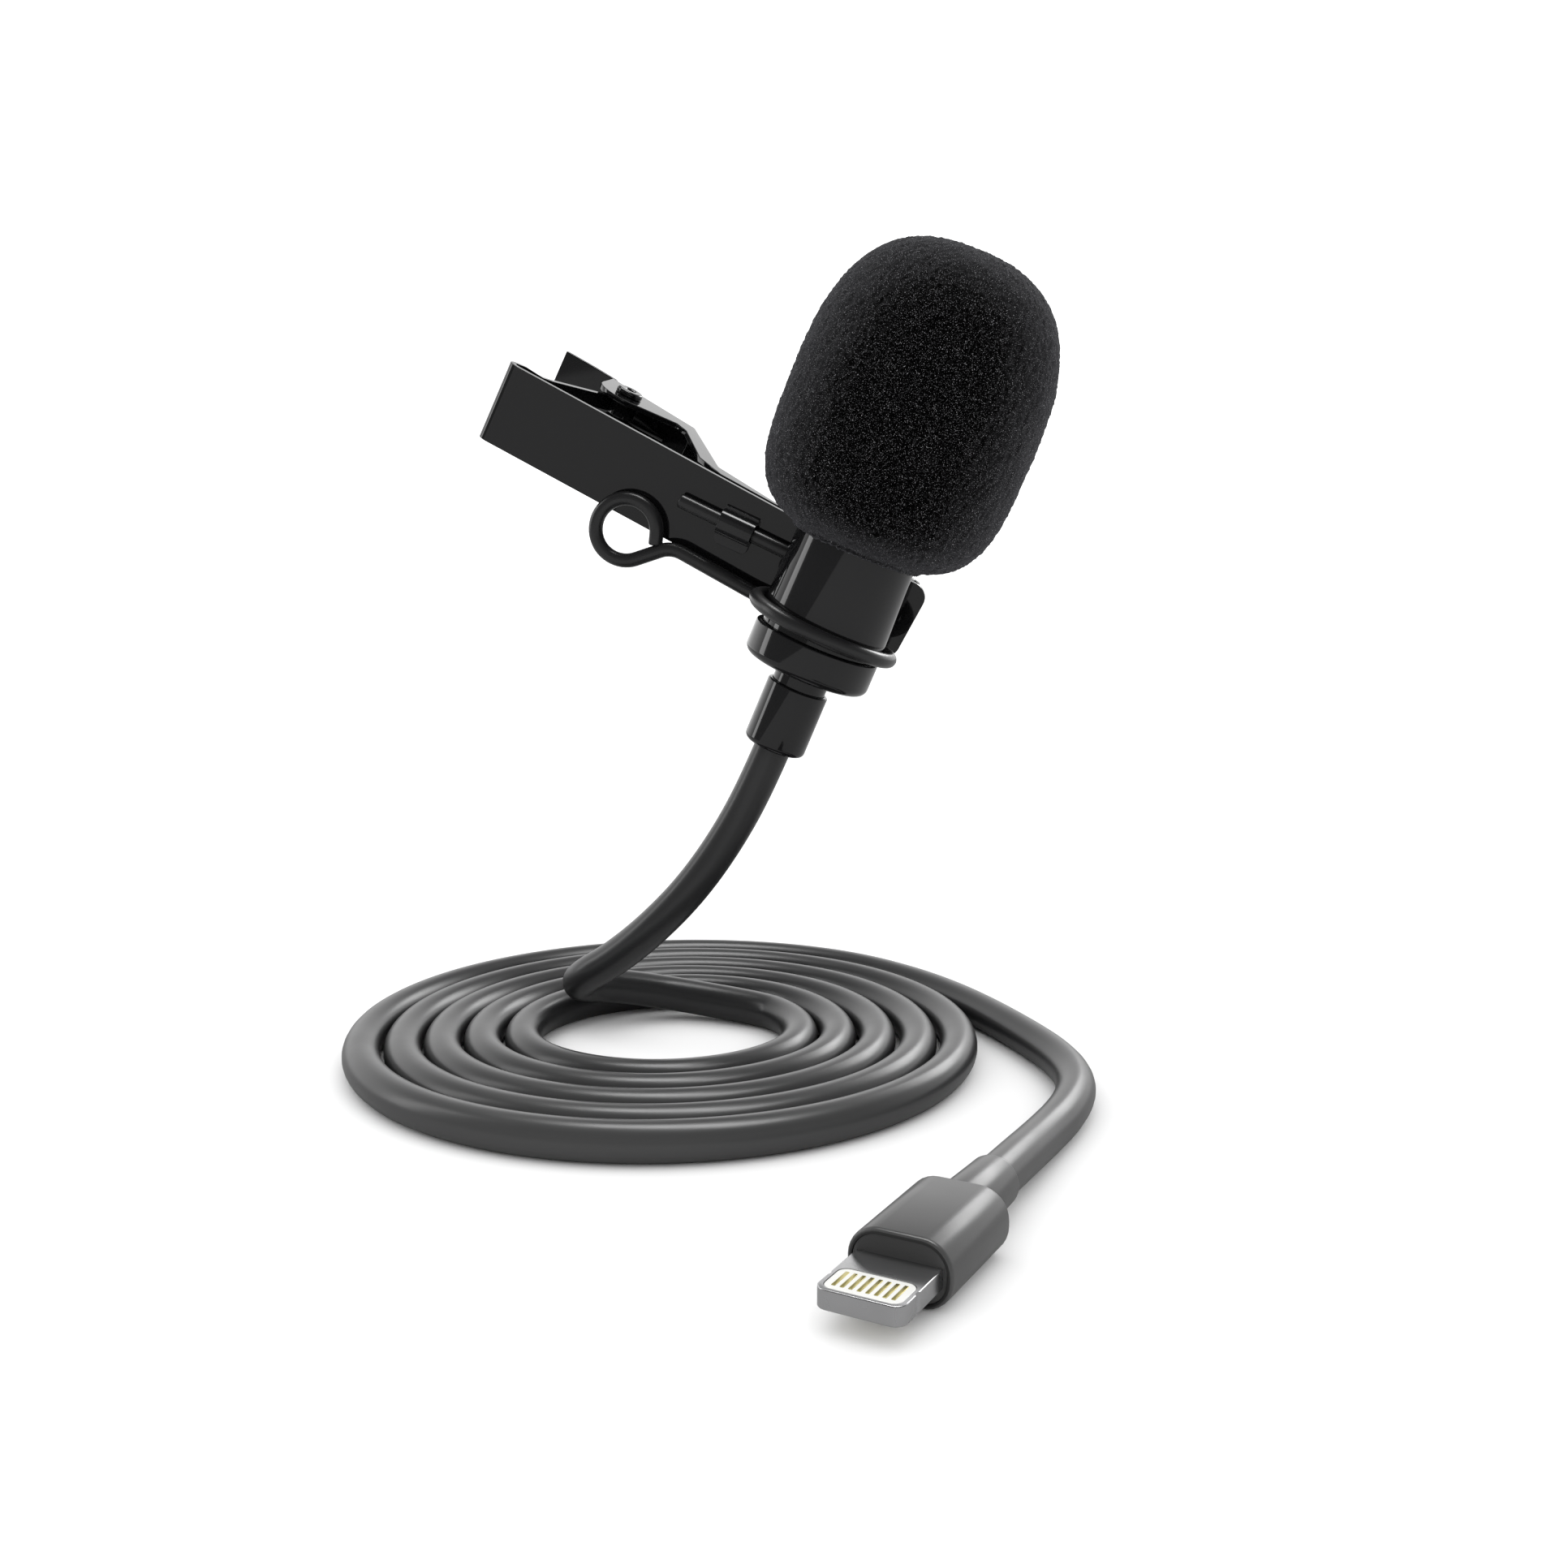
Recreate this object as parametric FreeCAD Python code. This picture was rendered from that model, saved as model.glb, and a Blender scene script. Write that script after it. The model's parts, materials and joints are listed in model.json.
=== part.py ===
import FreeCAD, Part
import math
import os

from FreeCAD import Placement, Rotation, Vector

# A clip-on lavalier microphone: foam windscreen, barrel, wire holder, spring clip, cord and an
# eight-contact plug.  Millimetres, +Z up.  The origin is the bite point of the clip's jaw, on the
# back face of its bar: the clip hangs on a garment there, and the cord drops from the microphone
# to a flat coil on the surface below.

# ---- driving dimensions -------------------------------------------------------------------
CORD_D = 3.8             # cord jacket, outside
CORD_PITCH = 4.12        # the coil's turns lie against each other
CORD_GRIP = 0.8          # how far the jacket goes into the plug's grip
FLOOR_Z = -48.8          # the surface that the coil and the plug lie on

BARREL_R = 6.53          # barrel at the level of the wire ring
BARREL_TOP_R = 6.15      # barrel where it enters the windscreen, and above
BARREL_TAPER_TOP = 10.0
BARREL_TOP = 24.0
BARREL_WALL = 0.8
COLLAR_R = 6.55
COLLAR_TOP = -1.6
COLLAR_H = 3.6
GROOVE_H = 0.7           # gap between barrel and collar, under the ring
GROOVE_R = 6.0
NECK_R = 2.8
NECK_L = 1.55            # neck seen between collar and sleeve
SLEEVE_R = 3.2
SLEEVE_L = 6.75
SOCKET_L = 1.6           # how far the neck goes into the sleeve

FOAM_R = 12.6
FOAM_BOTTOM = 8.0
FOAM_WIDEST = 21.2
FOAM_TOP = 38.5
FOAM_POWER_TOP = 2.7     # superellipse powers of the windscreen's outline
FOAM_POWER_BOTTOM = 3.4

CAPSULE_R = 4.85
CAPSULE_L = 5.2
CAPSULE_TOP = 22.2
FELT_T = 0.6
BOARD_T = 1.0
BOARD_Z = 11.0
CORE_WIRE_D = 0.8

WIRE_D = 1.5             # spring wire of the holder
EYE_R = 3.25             # finger eye, to the wire's centre
EYE_X = -23.4

SHEET_T = 0.6            # clip sheet steel
BAR_W = 8.6
BAR_LEFT = -41.0
BAR_RIGHT = 8.9
BAR_CORNER_R = 1.6
FOLD_R = 0.5             # inside radius of the fold at the bar's left end
PIN_X = -31.0
PIN_Y = 13.8
PIN_R = 0.9
PIN_HEAD_R = 1.5
PIN_HEAD_T = 0.5
EAR_R = 3.3
LEVER_RIGHT = 7.6
JAW_Y = 1.5              # back face of the lever at the jaw's tip
TOOTH_PITCH = 1.2
SPRING_WIRE_D = 0.55
SPRING_R = 1.45
SPRING_TURNS = 5
SADDLE_L = 3.8
SADDLE_T = 0.5

PLUG_W = 8.2
PLUG_H = 5.3
PLUG_L = 11.2
PLUG_WALL = 0.7
PLUG_RIM = 0.45          # border of the grip round its face plate
PLUG_FACE_T = 0.6
BOOT_L = 7.0
BOOT_R = 2.4
BOOT_END_R = 2.2
BLADE_W = 6.7
BLADE_T = 1.5
BLADE_L = 6.65           # blade outside the plug's face
BLADE_ROOT = 4.5         # blade inside the plug
CARRIER_L = 3.4
CARRIER_W = 6.0
CARRIER_INSET = 0.35     # metal border between the carrier and the blade's tip
CONTACT_COUNT = 8
CONTACT_PITCH = 0.64
CONTACT_W = 0.32
CONTACT_L = 2.3

COIL_X = -17.4           # centre of the coil
COIL_Y = -6.0
COIL_FIRST_R = 12.8      # centre of the cord at the coil's inside end
COIL_LAST_R = 33.7       # and at its outside end

# clearances
SLIP = 0.05              # parts that are pushed together
RUN = 0.06               # parts that turn on each other, radial
STRETCH = 0.08           # windscreen on barrel
LIE = 0.02               # the wire's tail and the bar's face

# ---- the two slanted frames ---------------------------------------------------------------
CLIP_TURN = Rotation(-4.6, 28.2, 11.4)      # yaw, pitch, roll of the clip bar
MIC_TURN = Rotation(-3.6, 22.7, 4.3)        # yaw, pitch, roll of the barrel's axis
RING_TWIST = -1.64                          # about that axis, which lays the wire's tail flat on the bar
TAIL_SLOPE = 3.7                            # degrees between the bar and the wire's tail
SADDLE_X = -12.0                            # the saddle on the bar
SADDLE_Z = 0.62
TAIL_X = -12.7                              # the same point, along the wire, from the barrel's axis
TAIL_RISE = 4.75                            # and above the ring

RING_R = BARREL_R + WIRE_D / 2 + RUN        # ring, to the wire's centre
CLIP = Placement(Vector(0, 0, 0), CLIP_TURN)
MIC_TURN = MIC_TURN.multiply(Rotation(Vector(0, 0, 1), RING_TWIST))
TAIL_POINT = CLIP.multVec(Vector(SADDLE_X, -SHEET_T - WIRE_D / 2 - LIE, SADDLE_Z))
MIC_ORIGIN = TAIL_POINT - MIC_TURN.multVec(Vector(TAIL_X, RING_R, TAIL_RISE))
MIC = Placement(MIC_ORIGIN, MIC_TURN)

SLEEVE_TOP = COLLAR_TOP - COLLAR_H - NECK_L
SLEEVE_BOTTOM = SLEEVE_TOP - SLEEVE_L

PLUG_TURN = Rotation(-28.8, 0, 0)
PLUG = Placement(Vector(2.5, -63.4, FLOOR_Z + PLUG_H / 2), PLUG_TURN)

AXIS_Y = Vector(0, 1, 0)
AXIS_Z = Vector(0, 0, 1)

# ---- helpers --------------------------------------------------------------------------------


def save(node, shape, frame=None):
    """Place a shape that was made in its own frame and write it as one STEP."""
    shape = shape.removeSplitter()
    if frame is not None:
        shape = shape.transformed(frame.toMatrix())
    if not shape.isValid() or shape.Volume <= 0:
        raise RuntimeError(node + " is not a sound solid")
    shape.exportStep("parts/" + node + ".step")
    return shape


def rod(radius, low, high, x=0.0, y=0.0):
    """Upright cylinder between two levels."""
    return Part.makeCylinder(radius, high - low, Vector(x, y, low), AXIS_Z)


def tube(outer, inner, low, high):
    return rod(outer, low, high).cut(rod(inner, low - 1, high + 1))


def cone(low_r, high_r, low, high):
    return Part.makeCone(low_r, high_r, high - low, Vector(0, 0, low), AXIS_Z)


def block(x, y, z):
    """Box from three (low, high) pairs."""
    size = (x[1] - x[0], y[1] - y[0], z[1] - z[0])
    return Part.makeBox(*size, Vector(x[0], y[0], z[0]))


def prism(points, low, high):
    """Outline in x and y, raised from one level to another."""
    loop = [Vector(x, y, low) for x, y in points]
    face = Part.Face(Part.makePolygon(loop + loop[:1]))
    return face.extrude(Vector(0, 0, high - low))


def round_edges(shape, radius, choose):
    """Fillet the edges that a test picks."""
    return shape.makeFillet(radius, [e for e in shape.Edges if choose(e)])


def is_circle_at(edge, level, radius):
    centre = edge.BoundBox.Center
    wide = edge.BoundBox.XLength
    return abs(centre.z - level) < 1e-3 and edge.BoundBox.ZLength < 1e-3 and abs(wide - 2 * radius) < 1e-2


def bent_path(points, radii):
    """Straight runs joined by tangent arcs, one radius for each inner point."""
    edges = []
    last = points[0]
    for i, radius in enumerate(radii, start=1):
        corner = points[i]
        back = (points[i - 1] - corner).normalize()
        ahead = (points[i + 1] - corner).normalize()
        half_turn = (math.pi - back.getAngle(ahead)) / 2
        reach = radius * math.tan(half_turn)
        begin = corner + back * reach
        end = corner + ahead * reach
        inward = (back + ahead).normalize()
        middle = corner + inward * (radius / math.cos(half_turn) - radius)
        if begin.distanceToPoint(last) > 1e-4:
            edges.append(Part.LineSegment(last, begin).toShape())
        edges.append(Part.Arc(begin, middle, end).toShape())
        last = end
    if last.distanceToPoint(points[-1]) > 1e-4:
        edges.append(Part.LineSegment(last, points[-1]).toShape())
    return Part.Wire(edges)


def swept(path, diameter):
    """Round bar along a path of runs and arcs."""
    first = path.Edges[0]
    start = first.valueAt(first.FirstParameter)
    along = first.tangentAt(first.FirstParameter)
    section = Part.Wire(Part.makeCircle(diameter / 2, start, along))
    bar = path.makePipeShell([section], True, False)
    expected = math.pi * diameter ** 2 / 4 * path.Length
    if abs(bar.Volume / expected - 1) > 0.01:
        raise RuntimeError("swept bar has the wrong volume")
    return bar


def cord_radii(points):
    """Arc at each inner point: 0.45 of the shorter run over the tangent of half the turn."""
    radii = []
    for before, here, after in zip(points, points[1:], points[2:]):
        run = min(before.distanceToPoint(here), here.distanceToPoint(after))
        turn = (here - before).getAngle(after - here)
        radii.append(0.45 * run / math.tan(turn / 2))
    return radii


def cord(node, points):
    radii = cord_radii(points)
    path = bent_path(points, radii)
    print(node, "length %.1f" % path.Length, "radii", ["%.1f" % r for r in radii])
    return save(node, swept(path, CORD_D))


# ---- windscreen -----------------------------------------------------------------------------


def windscreen_foam():
    steps = 7
    upper = []
    lower = []
    for i in range(steps + 1):
        angle = math.pi / 2 * i / steps
        side, rise = math.cos(angle), math.sin(angle)
        upper.append(Vector(FOAM_R * side ** (2 / FOAM_POWER_TOP), 0,
                            FOAM_WIDEST + (FOAM_TOP - FOAM_WIDEST) * rise ** (2 / FOAM_POWER_TOP)))
        lower.append(Vector(FOAM_R * side ** (2 / FOAM_POWER_BOTTOM), 0,
                            FOAM_WIDEST - (FOAM_WIDEST - FOAM_BOTTOM) * rise ** (2 / FOAM_POWER_BOTTOM)))
    upper[-1].x = 0.0
    lower[-1].x = 0.0
    outline = Part.BSplineCurve()
    outline.interpolate(lower[::-1] + upper[1:])
    axis = Part.LineSegment(upper[-1], lower[-1])
    face = Part.Face(Part.Wire([outline.toShape(), axis.toShape()]))
    body = face.revolve(Vector(0, 0, 0), AXIS_Z, 360)
    bore_top = GRILLE_TOP + STRETCH
    return body.cut(rod(BARREL_TOP_R + STRETCH, FOAM_BOTTOM - 1, bore_top))


# ---- microphone -----------------------------------------------------------------------------
BARREL_BOTTOM = COLLAR_TOP + GROOVE_H
BARREL_BORE = BARREL_TOP_R - BARREL_WALL
GRILLE_T = 0.7
GRILLE_DOME = 1.2
GRILLE_TOP = BARREL_TOP + GRILLE_T + GRILLE_DOME
CORD_BORE = CORD_D / 2 + SLIP


def mic_barrel():
    taper = cone(BARREL_R, BARREL_TOP_R, BARREL_BOTTOM, BARREL_TAPER_TOP)
    body = taper.fuse(rod(BARREL_TOP_R, BARREL_TAPER_TOP, BARREL_TOP))
    return body.cut(rod(BARREL_BORE, BARREL_BOTTOM - 1, BARREL_TOP + 1))


def front_grille():
    """Domed cap with a spigot in the barrel's mouth and three rings of sound holes."""
    ball_r = (BARREL_TOP_R ** 2 + GRILLE_DOME ** 2) / (2 * GRILLE_DOME)
    ball_z = BARREL_TOP + GRILLE_T + GRILLE_DOME - ball_r
    outside = rod(BARREL_TOP_R, BARREL_TOP, GRILLE_TOP)
    dome = outside.common(Part.makeSphere(ball_r, Vector(0, 0, ball_z)))
    hollow = Part.makeSphere(ball_r - GRILLE_T, Vector(0, 0, ball_z))
    cap = dome.cut(hollow.common(rod(BARREL_BORE - SHEET_T, BARREL_TOP - 1, GRILLE_TOP)))
    skirt = tube(BARREL_BORE - SLIP, BARREL_BORE - SHEET_T, BARREL_TOP - 1.2, BARREL_TOP + 0.2)
    cap = cap.fuse(skirt)
    for ring_r, count in ((0.0, 1), (1.9, 6), (3.7, 12)):
        for i in range(count):
            angle = 2 * math.pi * i / count
            hole = rod(0.45, BARREL_TOP - 2, GRILLE_TOP + 1, ring_r * math.cos(angle), ring_r * math.sin(angle))
            cap = cap.cut(hole)
    return cap


def base_collar():
    """Screwed end cap: spigot in the barrel, collar, and the neck that the sleeve grips."""
    bottom = COLLAR_TOP - COLLAR_H
    body = rod(COLLAR_R, bottom, COLLAR_TOP)
    body = round_edges(body, 0.9, lambda e: is_circle_at(e, bottom, COLLAR_R))
    body = body.fuse(rod(GROOVE_R, COLLAR_TOP - 0.5, BARREL_BOTTOM - SLIP))
    body = body.fuse(rod(BARREL_BORE - SLIP, BARREL_BOTTOM - 0.5, BARREL_BOTTOM + 4))
    neck = rod(NECK_R, SLEEVE_TOP - SOCKET_L + SLIP, bottom + 0.5)
    body = round_edges(body.fuse(neck), 0.5, lambda e: is_circle_at(e, bottom, NECK_R))
    body = body.cut(rod(CORD_BORE, SLEEVE_BOTTOM, BARREL_BOTTOM + 5))
    pocket = rod(BARREL_BORE - 1.2, COLLAR_TOP, BARREL_BOTTOM + 5)
    return body.cut(pocket)


def strain_relief_sleeve():
    body = rod(SLEEVE_R, SLEEVE_BOTTOM, SLEEVE_TOP)
    body = round_edges(body, 0.6, lambda e: is_circle_at(e, SLEEVE_BOTTOM, SLEEVE_R))
    body = round_edges(body, 0.2, lambda e: is_circle_at(e, SLEEVE_TOP, SLEEVE_R))
    body = body.cut(rod(CORD_BORE, SLEEVE_BOTTOM - 1, SLEEVE_TOP))
    return body.cut(rod(NECK_R + SLIP, SLEEVE_TOP - SOCKET_L, SLEEVE_TOP + 1))


def capsule_can():
    """Electret capsule: rolled aluminium can with one sound hole in its face."""
    body = rod(CAPSULE_R, CAPSULE_TOP - CAPSULE_L, CAPSULE_TOP)
    body = round_edges(body, 0.4, lambda e: is_circle_at(e, CAPSULE_TOP, CAPSULE_R))
    return body.cut(rod(1.0, CAPSULE_TOP - 1.0, CAPSULE_TOP + 1))


def capsule_gasket():
    middle = CAPSULE_TOP - CAPSULE_L / 2
    return tube(BARREL_BORE - SLIP, CAPSULE_R + SLIP, middle - 1.8, middle + 1.8)


def preamp_board():
    body = rod(BARREL_BORE - 0.3, BOARD_Z, BOARD_Z + BOARD_T)
    return body.cut(block((3.6, 6), (-1.2, 1.2), (BOARD_Z - 1, BOARD_Z + 3)))


def board_parts():
    """Transistor, capacitors and resistors on the upper side of the round board."""
    top = BOARD_Z + BOARD_T
    places = ((-1.6, 1.4, 2.6, 1.5, 1.1), (1.6, 1.9, 1.6, 0.8, 0.6), (1.6, 0.4, 1.6, 0.8, 0.6),
              (-1.8, -1.2, 1.4, 0.8, 0.5), (0.9, -1.6, 2.0, 1.2, 0.9))
    pieces = [block((x - w / 2, x + w / 2), (y - d / 2, y + d / 2), (top, top + h))
              for x, y, w, d, h in places]
    return Part.makeCompound(pieces)


def capsule_wires():
    """Two enamelled wires from the capsule's pads down to the board."""
    low = BOARD_Z + BOARD_T
    high = CAPSULE_TOP - CAPSULE_L
    return Part.makeCompound([rod(CORE_WIRE_D / 2, low, high, x, 3.3) for x in (-1.0, 1.0)])


def cord_cores():
    """The cord's two insulated cores, from the stripped jacket up to the board."""
    return Part.makeCompound([rod(CORE_WIRE_D / 2, CORD_START, BOARD_Z, x, 0) for x in (-0.7, 0.7)])


def cord_crimp():
    """Ring crimped on the jacket inside the collar, which stops the cord pulling out."""
    return tube(BARREL_BORE - 1.4, CORD_D / 2, COLLAR_TOP, COLLAR_TOP + 2.4)


# ---- spring clip ----------------------------------------------------------------------------
HALF_W = BAR_W / 2
EAR_INSIDE = HALF_W - SHEET_T
LIP_HALF = EAR_INSIDE - 0.3
KNUCKLE_INSIDE = 1.75
ROLL_R = PIN_R + SHEET_T
FOLD_X = BAR_LEFT + FOLD_R + SHEET_T
FOLD_Y = FOLD_R


def clip_front_bar():
    """Long bar, the fold at its left end, and the lip that runs back and curls round the pin."""
    bar = block((FOLD_X, BAR_RIGHT), (-SHEET_T, 0), (-HALF_W, HALF_W))
    bar = round_edges(bar, BAR_CORNER_R, lambda e: abs(e.BoundBox.Center.x - BAR_RIGHT) < 1e-3
                      and e.BoundBox.YLength > SHEET_T / 2)
    centre_line = Vector(PIN_X - FOLD_X, PIN_Y - FOLD_Y, 0)
    length = centre_line.Length
    # the lip touches the left side of the fold's ring and of the pin's knuckles
    lean = math.asin((ROLL_R - FOLD_R - SHEET_T) / length)
    angle = math.atan2(centre_line.y, centre_line.x) + lean
    ahead = Vector(math.cos(angle), math.sin(angle), 0)
    out = Vector(-ahead.y, ahead.x, 0)
    start = Vector(FOLD_X, FOLD_Y, 0) + out * FOLD_R
    run = length * math.cos(lean)
    ring = tube(FOLD_R + SHEET_T, FOLD_R, -HALF_W, HALF_W)
    reach = 3 * (FOLD_R + SHEET_T)
    keep = prism([(0, 0), (0, -reach), (-reach, -reach), (-reach, reach),
                  (out.x * reach, out.y * reach)], -HALF_W, HALF_W)
    fold = ring.common(keep).translated(Vector(FOLD_X, FOLD_Y, 0))
    outline = [Vector(0, 0, -HALF_W), Vector(run * 0.35, 0, -LIP_HALF), Vector(run, 0, -LIP_HALF),
               Vector(run, 0, LIP_HALF), Vector(run * 0.35, 0, LIP_HALF), Vector(0, 0, HALF_W)]
    plate = Part.Face(Part.makePolygon(outline + outline[:1])).extrude(Vector(0, SHEET_T, 0))
    slot = block((run - 4.5, run + 2), (-1, 2), (-KNUCKLE_INSIDE, KNUCKLE_INSIDE))
    lip = plate.cut(slot)
    lip = lip.transformed(Placement(start, Rotation(AXIS_Z, math.degrees(angle))).toMatrix())
    body = bar.fuse(fold).fuse(lip)
    for low, high in ((-LIP_HALF, -KNUCKLE_INSIDE), (KNUCKLE_INSIDE, LIP_HALF)):
        body = body.fuse(rod(ROLL_R, low, high, PIN_X, PIN_Y))
    return body.cut(rod(PIN_R, -HALF_W, HALF_W, PIN_X, PIN_Y))


# the lever's back, from the thumb tab's tip to the jaw's tip
LEVER_BACK = [(-40.8, 20.2), (-22.6, 15.9), (-16.7, 4.0), (-9.9, 2.2), (LEVER_RIGHT, JAW_Y)]
# the free edge of its side walls, from the jaw's tip back to the ear
LEVER_EDGE = [(LEVER_RIGHT, 0.35), (-16.2, 0.9), (-19.3, 3.3), (-23.2, 12.0), (-24.6, 13.0), (PIN_X, PIN_Y - EAR_R)]


def offset_inwards(points, distance):
    """Shift an open outline sideways, towards the bar, keeping its corners mitred."""
    shifted = []
    count = len(points)
    for i, (x, y) in enumerate(points):
        here = Vector(x, y, 0)
        normals = []
        if i > 0:
            run = here - Vector(*points[i - 1], 0)
            normals.append(Vector(run.y, -run.x, 0).normalize())
        if i < count - 1:
            run = Vector(*points[i + 1], 0) - here
            normals.append(Vector(run.y, -run.x, 0).normalize())
        mean = normals[0] if len(normals) == 1 else (normals[0] + normals[1]).normalize()
        shift = here + mean * (distance / mean.dot(normals[0]))
        shifted.append((shift.x, shift.y))
    return shifted


def clip_lever():
    """Channel-section lever: thumb tab, two ears on the pin, side walls and a toothed jaw."""
    inner = offset_inwards(LEVER_BACK, SHEET_T)
    back = prism(LEVER_BACK + inner[::-1], -HALF_W, HALF_W)
    tab_x, tab_y = LEVER_BACK[0]
    knee_x, knee_y = LEVER_BACK[1]
    share = (PIN_X - EAR_R - tab_x) / (knee_x - tab_x)
    ear_back = (PIN_X - EAR_R, tab_y + share * (knee_y - tab_y))
    wall_outline = [ear_back] + LEVER_BACK[1:] + LEVER_EDGE + [(PIN_X - EAR_R, PIN_Y)]
    body = back
    for low, high in ((-HALF_W, -EAR_INSIDE), (EAR_INSIDE, HALF_W)):
        wall = prism(wall_outline, low, high).fuse(rod(EAR_R, low, high, PIN_X, PIN_Y))
        body = body.fuse(wall)
    body = body.cut(rod(PIN_R + RUN, -HALF_W - 1, HALF_W + 1, PIN_X, PIN_Y))
    teeth = int(8 / TOOTH_PITCH)
    for i in range(teeth):
        x = LEVER_RIGHT - 0.6 - i * TOOTH_PITCH
        notch = prism([(x - 0.4, 0), (x + 0.4, 0), (x, 0.75)], -HALF_W - 1, HALF_W + 1)
        body = body.cut(notch)
    return body


def hinge_pin():
    """Pin with a flat head at each end, dished like a hollow rivet."""
    head_from = HALF_W + RUN
    head_to = head_from + PIN_HEAD_T
    body = rod(PIN_R, -head_to, head_to, PIN_X, PIN_Y)
    for low, high in ((-head_to, -head_from), (head_from, head_to)):
        body = body.fuse(rod(PIN_HEAD_R, low, high, PIN_X, PIN_Y))
    for low, high in ((-head_to - 1, -head_to + 0.35), (head_to - 0.35, head_to + 1)):
        body = body.cut(rod(PIN_R * 0.7, low, high, PIN_X, PIN_Y))
    return body


def torsion_spring():
    """Close-wound coil round the pin, with one leg on the lip and one on the lever."""
    pitch = SPRING_WIRE_D * 0.96
    first = -pitch * (SPRING_TURNS - 1) / 2
    turns = [Part.makeTorus(SPRING_R, SPRING_WIRE_D / 2, Vector(PIN_X, PIN_Y, first + i * pitch), AXIS_Z)
             for i in range(SPRING_TURNS)]
    body = turns[0]
    for turn in turns[1:]:
        body = body.fuse(turn)
    lip_leg = Part.makeCylinder(SPRING_WIRE_D / 2, 5.0, Vector(PIN_X - SPRING_R * 0.7, PIN_Y - SPRING_R * 0.7, first),
                                Vector(0.25, -1, 0))
    lever_leg = Part.makeCylinder(SPRING_WIRE_D / 2, 6.0, Vector(PIN_X, PIN_Y + SPRING_R, -first),
                                  Vector(1, 0.02, 0))
    return body.fuse(lip_leg).fuse(lever_leg)


def swivel_saddle():
    """Strap spot-welded on the bar's face: an arch over the wire's tail and a flat foot."""
    arch_in = WIRE_D / 2 + RUN
    arch_out = arch_in + SADDLE_T
    face = 0.0
    wire_y = -WIRE_D / 2 - LIE
    half = SADDLE_L / 2
    outside = rod(arch_out, -half, half, 0, wire_y)
    outside = outside.fuse(block((-arch_out, arch_out), (wire_y, face), (-half, half)))
    foot = block((0, arch_out + 1.15), (face - SADDLE_T, face), (-half, half))
    lug = block((-arch_out - 0.35, 0), (face - SADDLE_T, face), (-half, half))
    body = outside.fuse(foot).fuse(lug).cut(block((-3, 3), (face, 3), (-half - 1, half + 1)))
    inside = rod(arch_in, -half - 1, half + 1, 0, wire_y)
    inside = inside.fuse(block((-arch_in, arch_in), (wire_y, face + 1), (-half - 1, half + 1)))
    return body.cut(inside)


# ---- wire holder ----------------------------------------------------------------------------
TAIL_END_X = -19.3
TAIL_FALL = -0.05          # the tail's slope against the ring's plane
LOW_START = 0.22           # level of the lower wire where it leaves the eye
LOW_SLOPE = -0.109         # and its slope
RING_LOW = -1.05           # the wire passes behind the barrel twice, one pass above the other
RING_HIGH = 0.55
TURN_BACK_X = 4.6          # where the wire turns back behind the barrel


def tail_level(x):
    return TAIL_RISE + (x - TAIL_X) * TAIL_FALL


def wire_ring():
    """One bent wire: finger eye, lower run, one turn round the barrel, turn back, straight tail."""
    r = RING_R
    start_angle = math.radians(16)
    end_angle = math.radians(309)
    arcs = 4
    step = (end_angle - start_angle) / arcs
    reach = EYE_R / math.cos(step / 2)
    tip_side = Vector(EYE_X + EYE_R * math.cos(start_angle), r, EYE_R * math.sin(start_angle))
    tip_run = 1.25
    tip = tip_side + Vector(math.sin(start_angle), 0, -math.cos(start_angle)) * tip_run
    points = [tip]
    radii = []
    for i in range(arcs):
        angle = start_angle + (i + 0.5) * step
        points.append(Vector(EYE_X + reach * math.cos(angle), r, reach * math.sin(angle)))
        radii.append(EYE_R)
    low_from, low_to = -18.3, -8.6
    points += [Vector(low_from, r, LOW_START), Vector(low_to, r, LOW_START + (low_to - low_from) * LOW_SLOPE)]
    radii += [3.0, 12.0]
    rise = (RING_HIGH - RING_LOW) / 4
    for i, (x, y) in enumerate(((r, r), (r, -r), (-r, -r), (-r, r))):
        points.append(Vector(x, y, RING_LOW + rise * (i + 0.5)))
        radii.append(r * 0.9999)
    low = RING_HIGH + rise * TURN_BACK_X / (2 * r)
    high = tail_level(TURN_BACK_X)
    points += [Vector(TURN_BACK_X, r, low), Vector(TURN_BACK_X, r, high)]
    radii += [(high - low) * 0.48] * 2
    points.append(Vector(TAIL_END_X, r, tail_level(TAIL_END_X)))
    return swept(bent_path(points, radii), WIRE_D)


# ---- plug -----------------------------------------------------------------------------------
# In the plug's own frame the face is at y = 0, the blade points along -y and the cord leaves
# along +y.


def rounded_bar(width, height, radius, near, far):
    """Bar along y with rounded long edges, centred on the y axis."""
    body = block((-width / 2, width / 2), (near, far), (-height / 2, height / 2))
    return round_edges(body, radius, lambda e: e.BoundBox.YLength > (far - near) * 0.9)


def plug_overmold():
    """Moulded grip, open at the front where its face plate and the blade sit."""
    body = rounded_bar(PLUG_W, PLUG_H, PLUG_H * 0.46, 0, PLUG_L)
    body = round_edges(body, 0.35, lambda e: abs(e.BoundBox.Center.y - PLUG_L) < 1e-3)
    hollow = rounded_bar(PLUG_W - 2 * PLUG_WALL, PLUG_H - 2 * PLUG_WALL, PLUG_H * 0.26, -1, PLUG_L - 1.4)
    body = body.cut(hollow)
    seat = rounded_bar(PLUG_W - 2 * PLUG_RIM, PLUG_H - 2 * PLUG_RIM, PLUG_H * 0.36, -1, PLUG_FACE_T)
    body = body.cut(seat)
    return body.cut(Part.makeCylinder(CORD_BORE, 6, Vector(0, PLUG_L - 3, 0), AXIS_Y))


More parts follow.
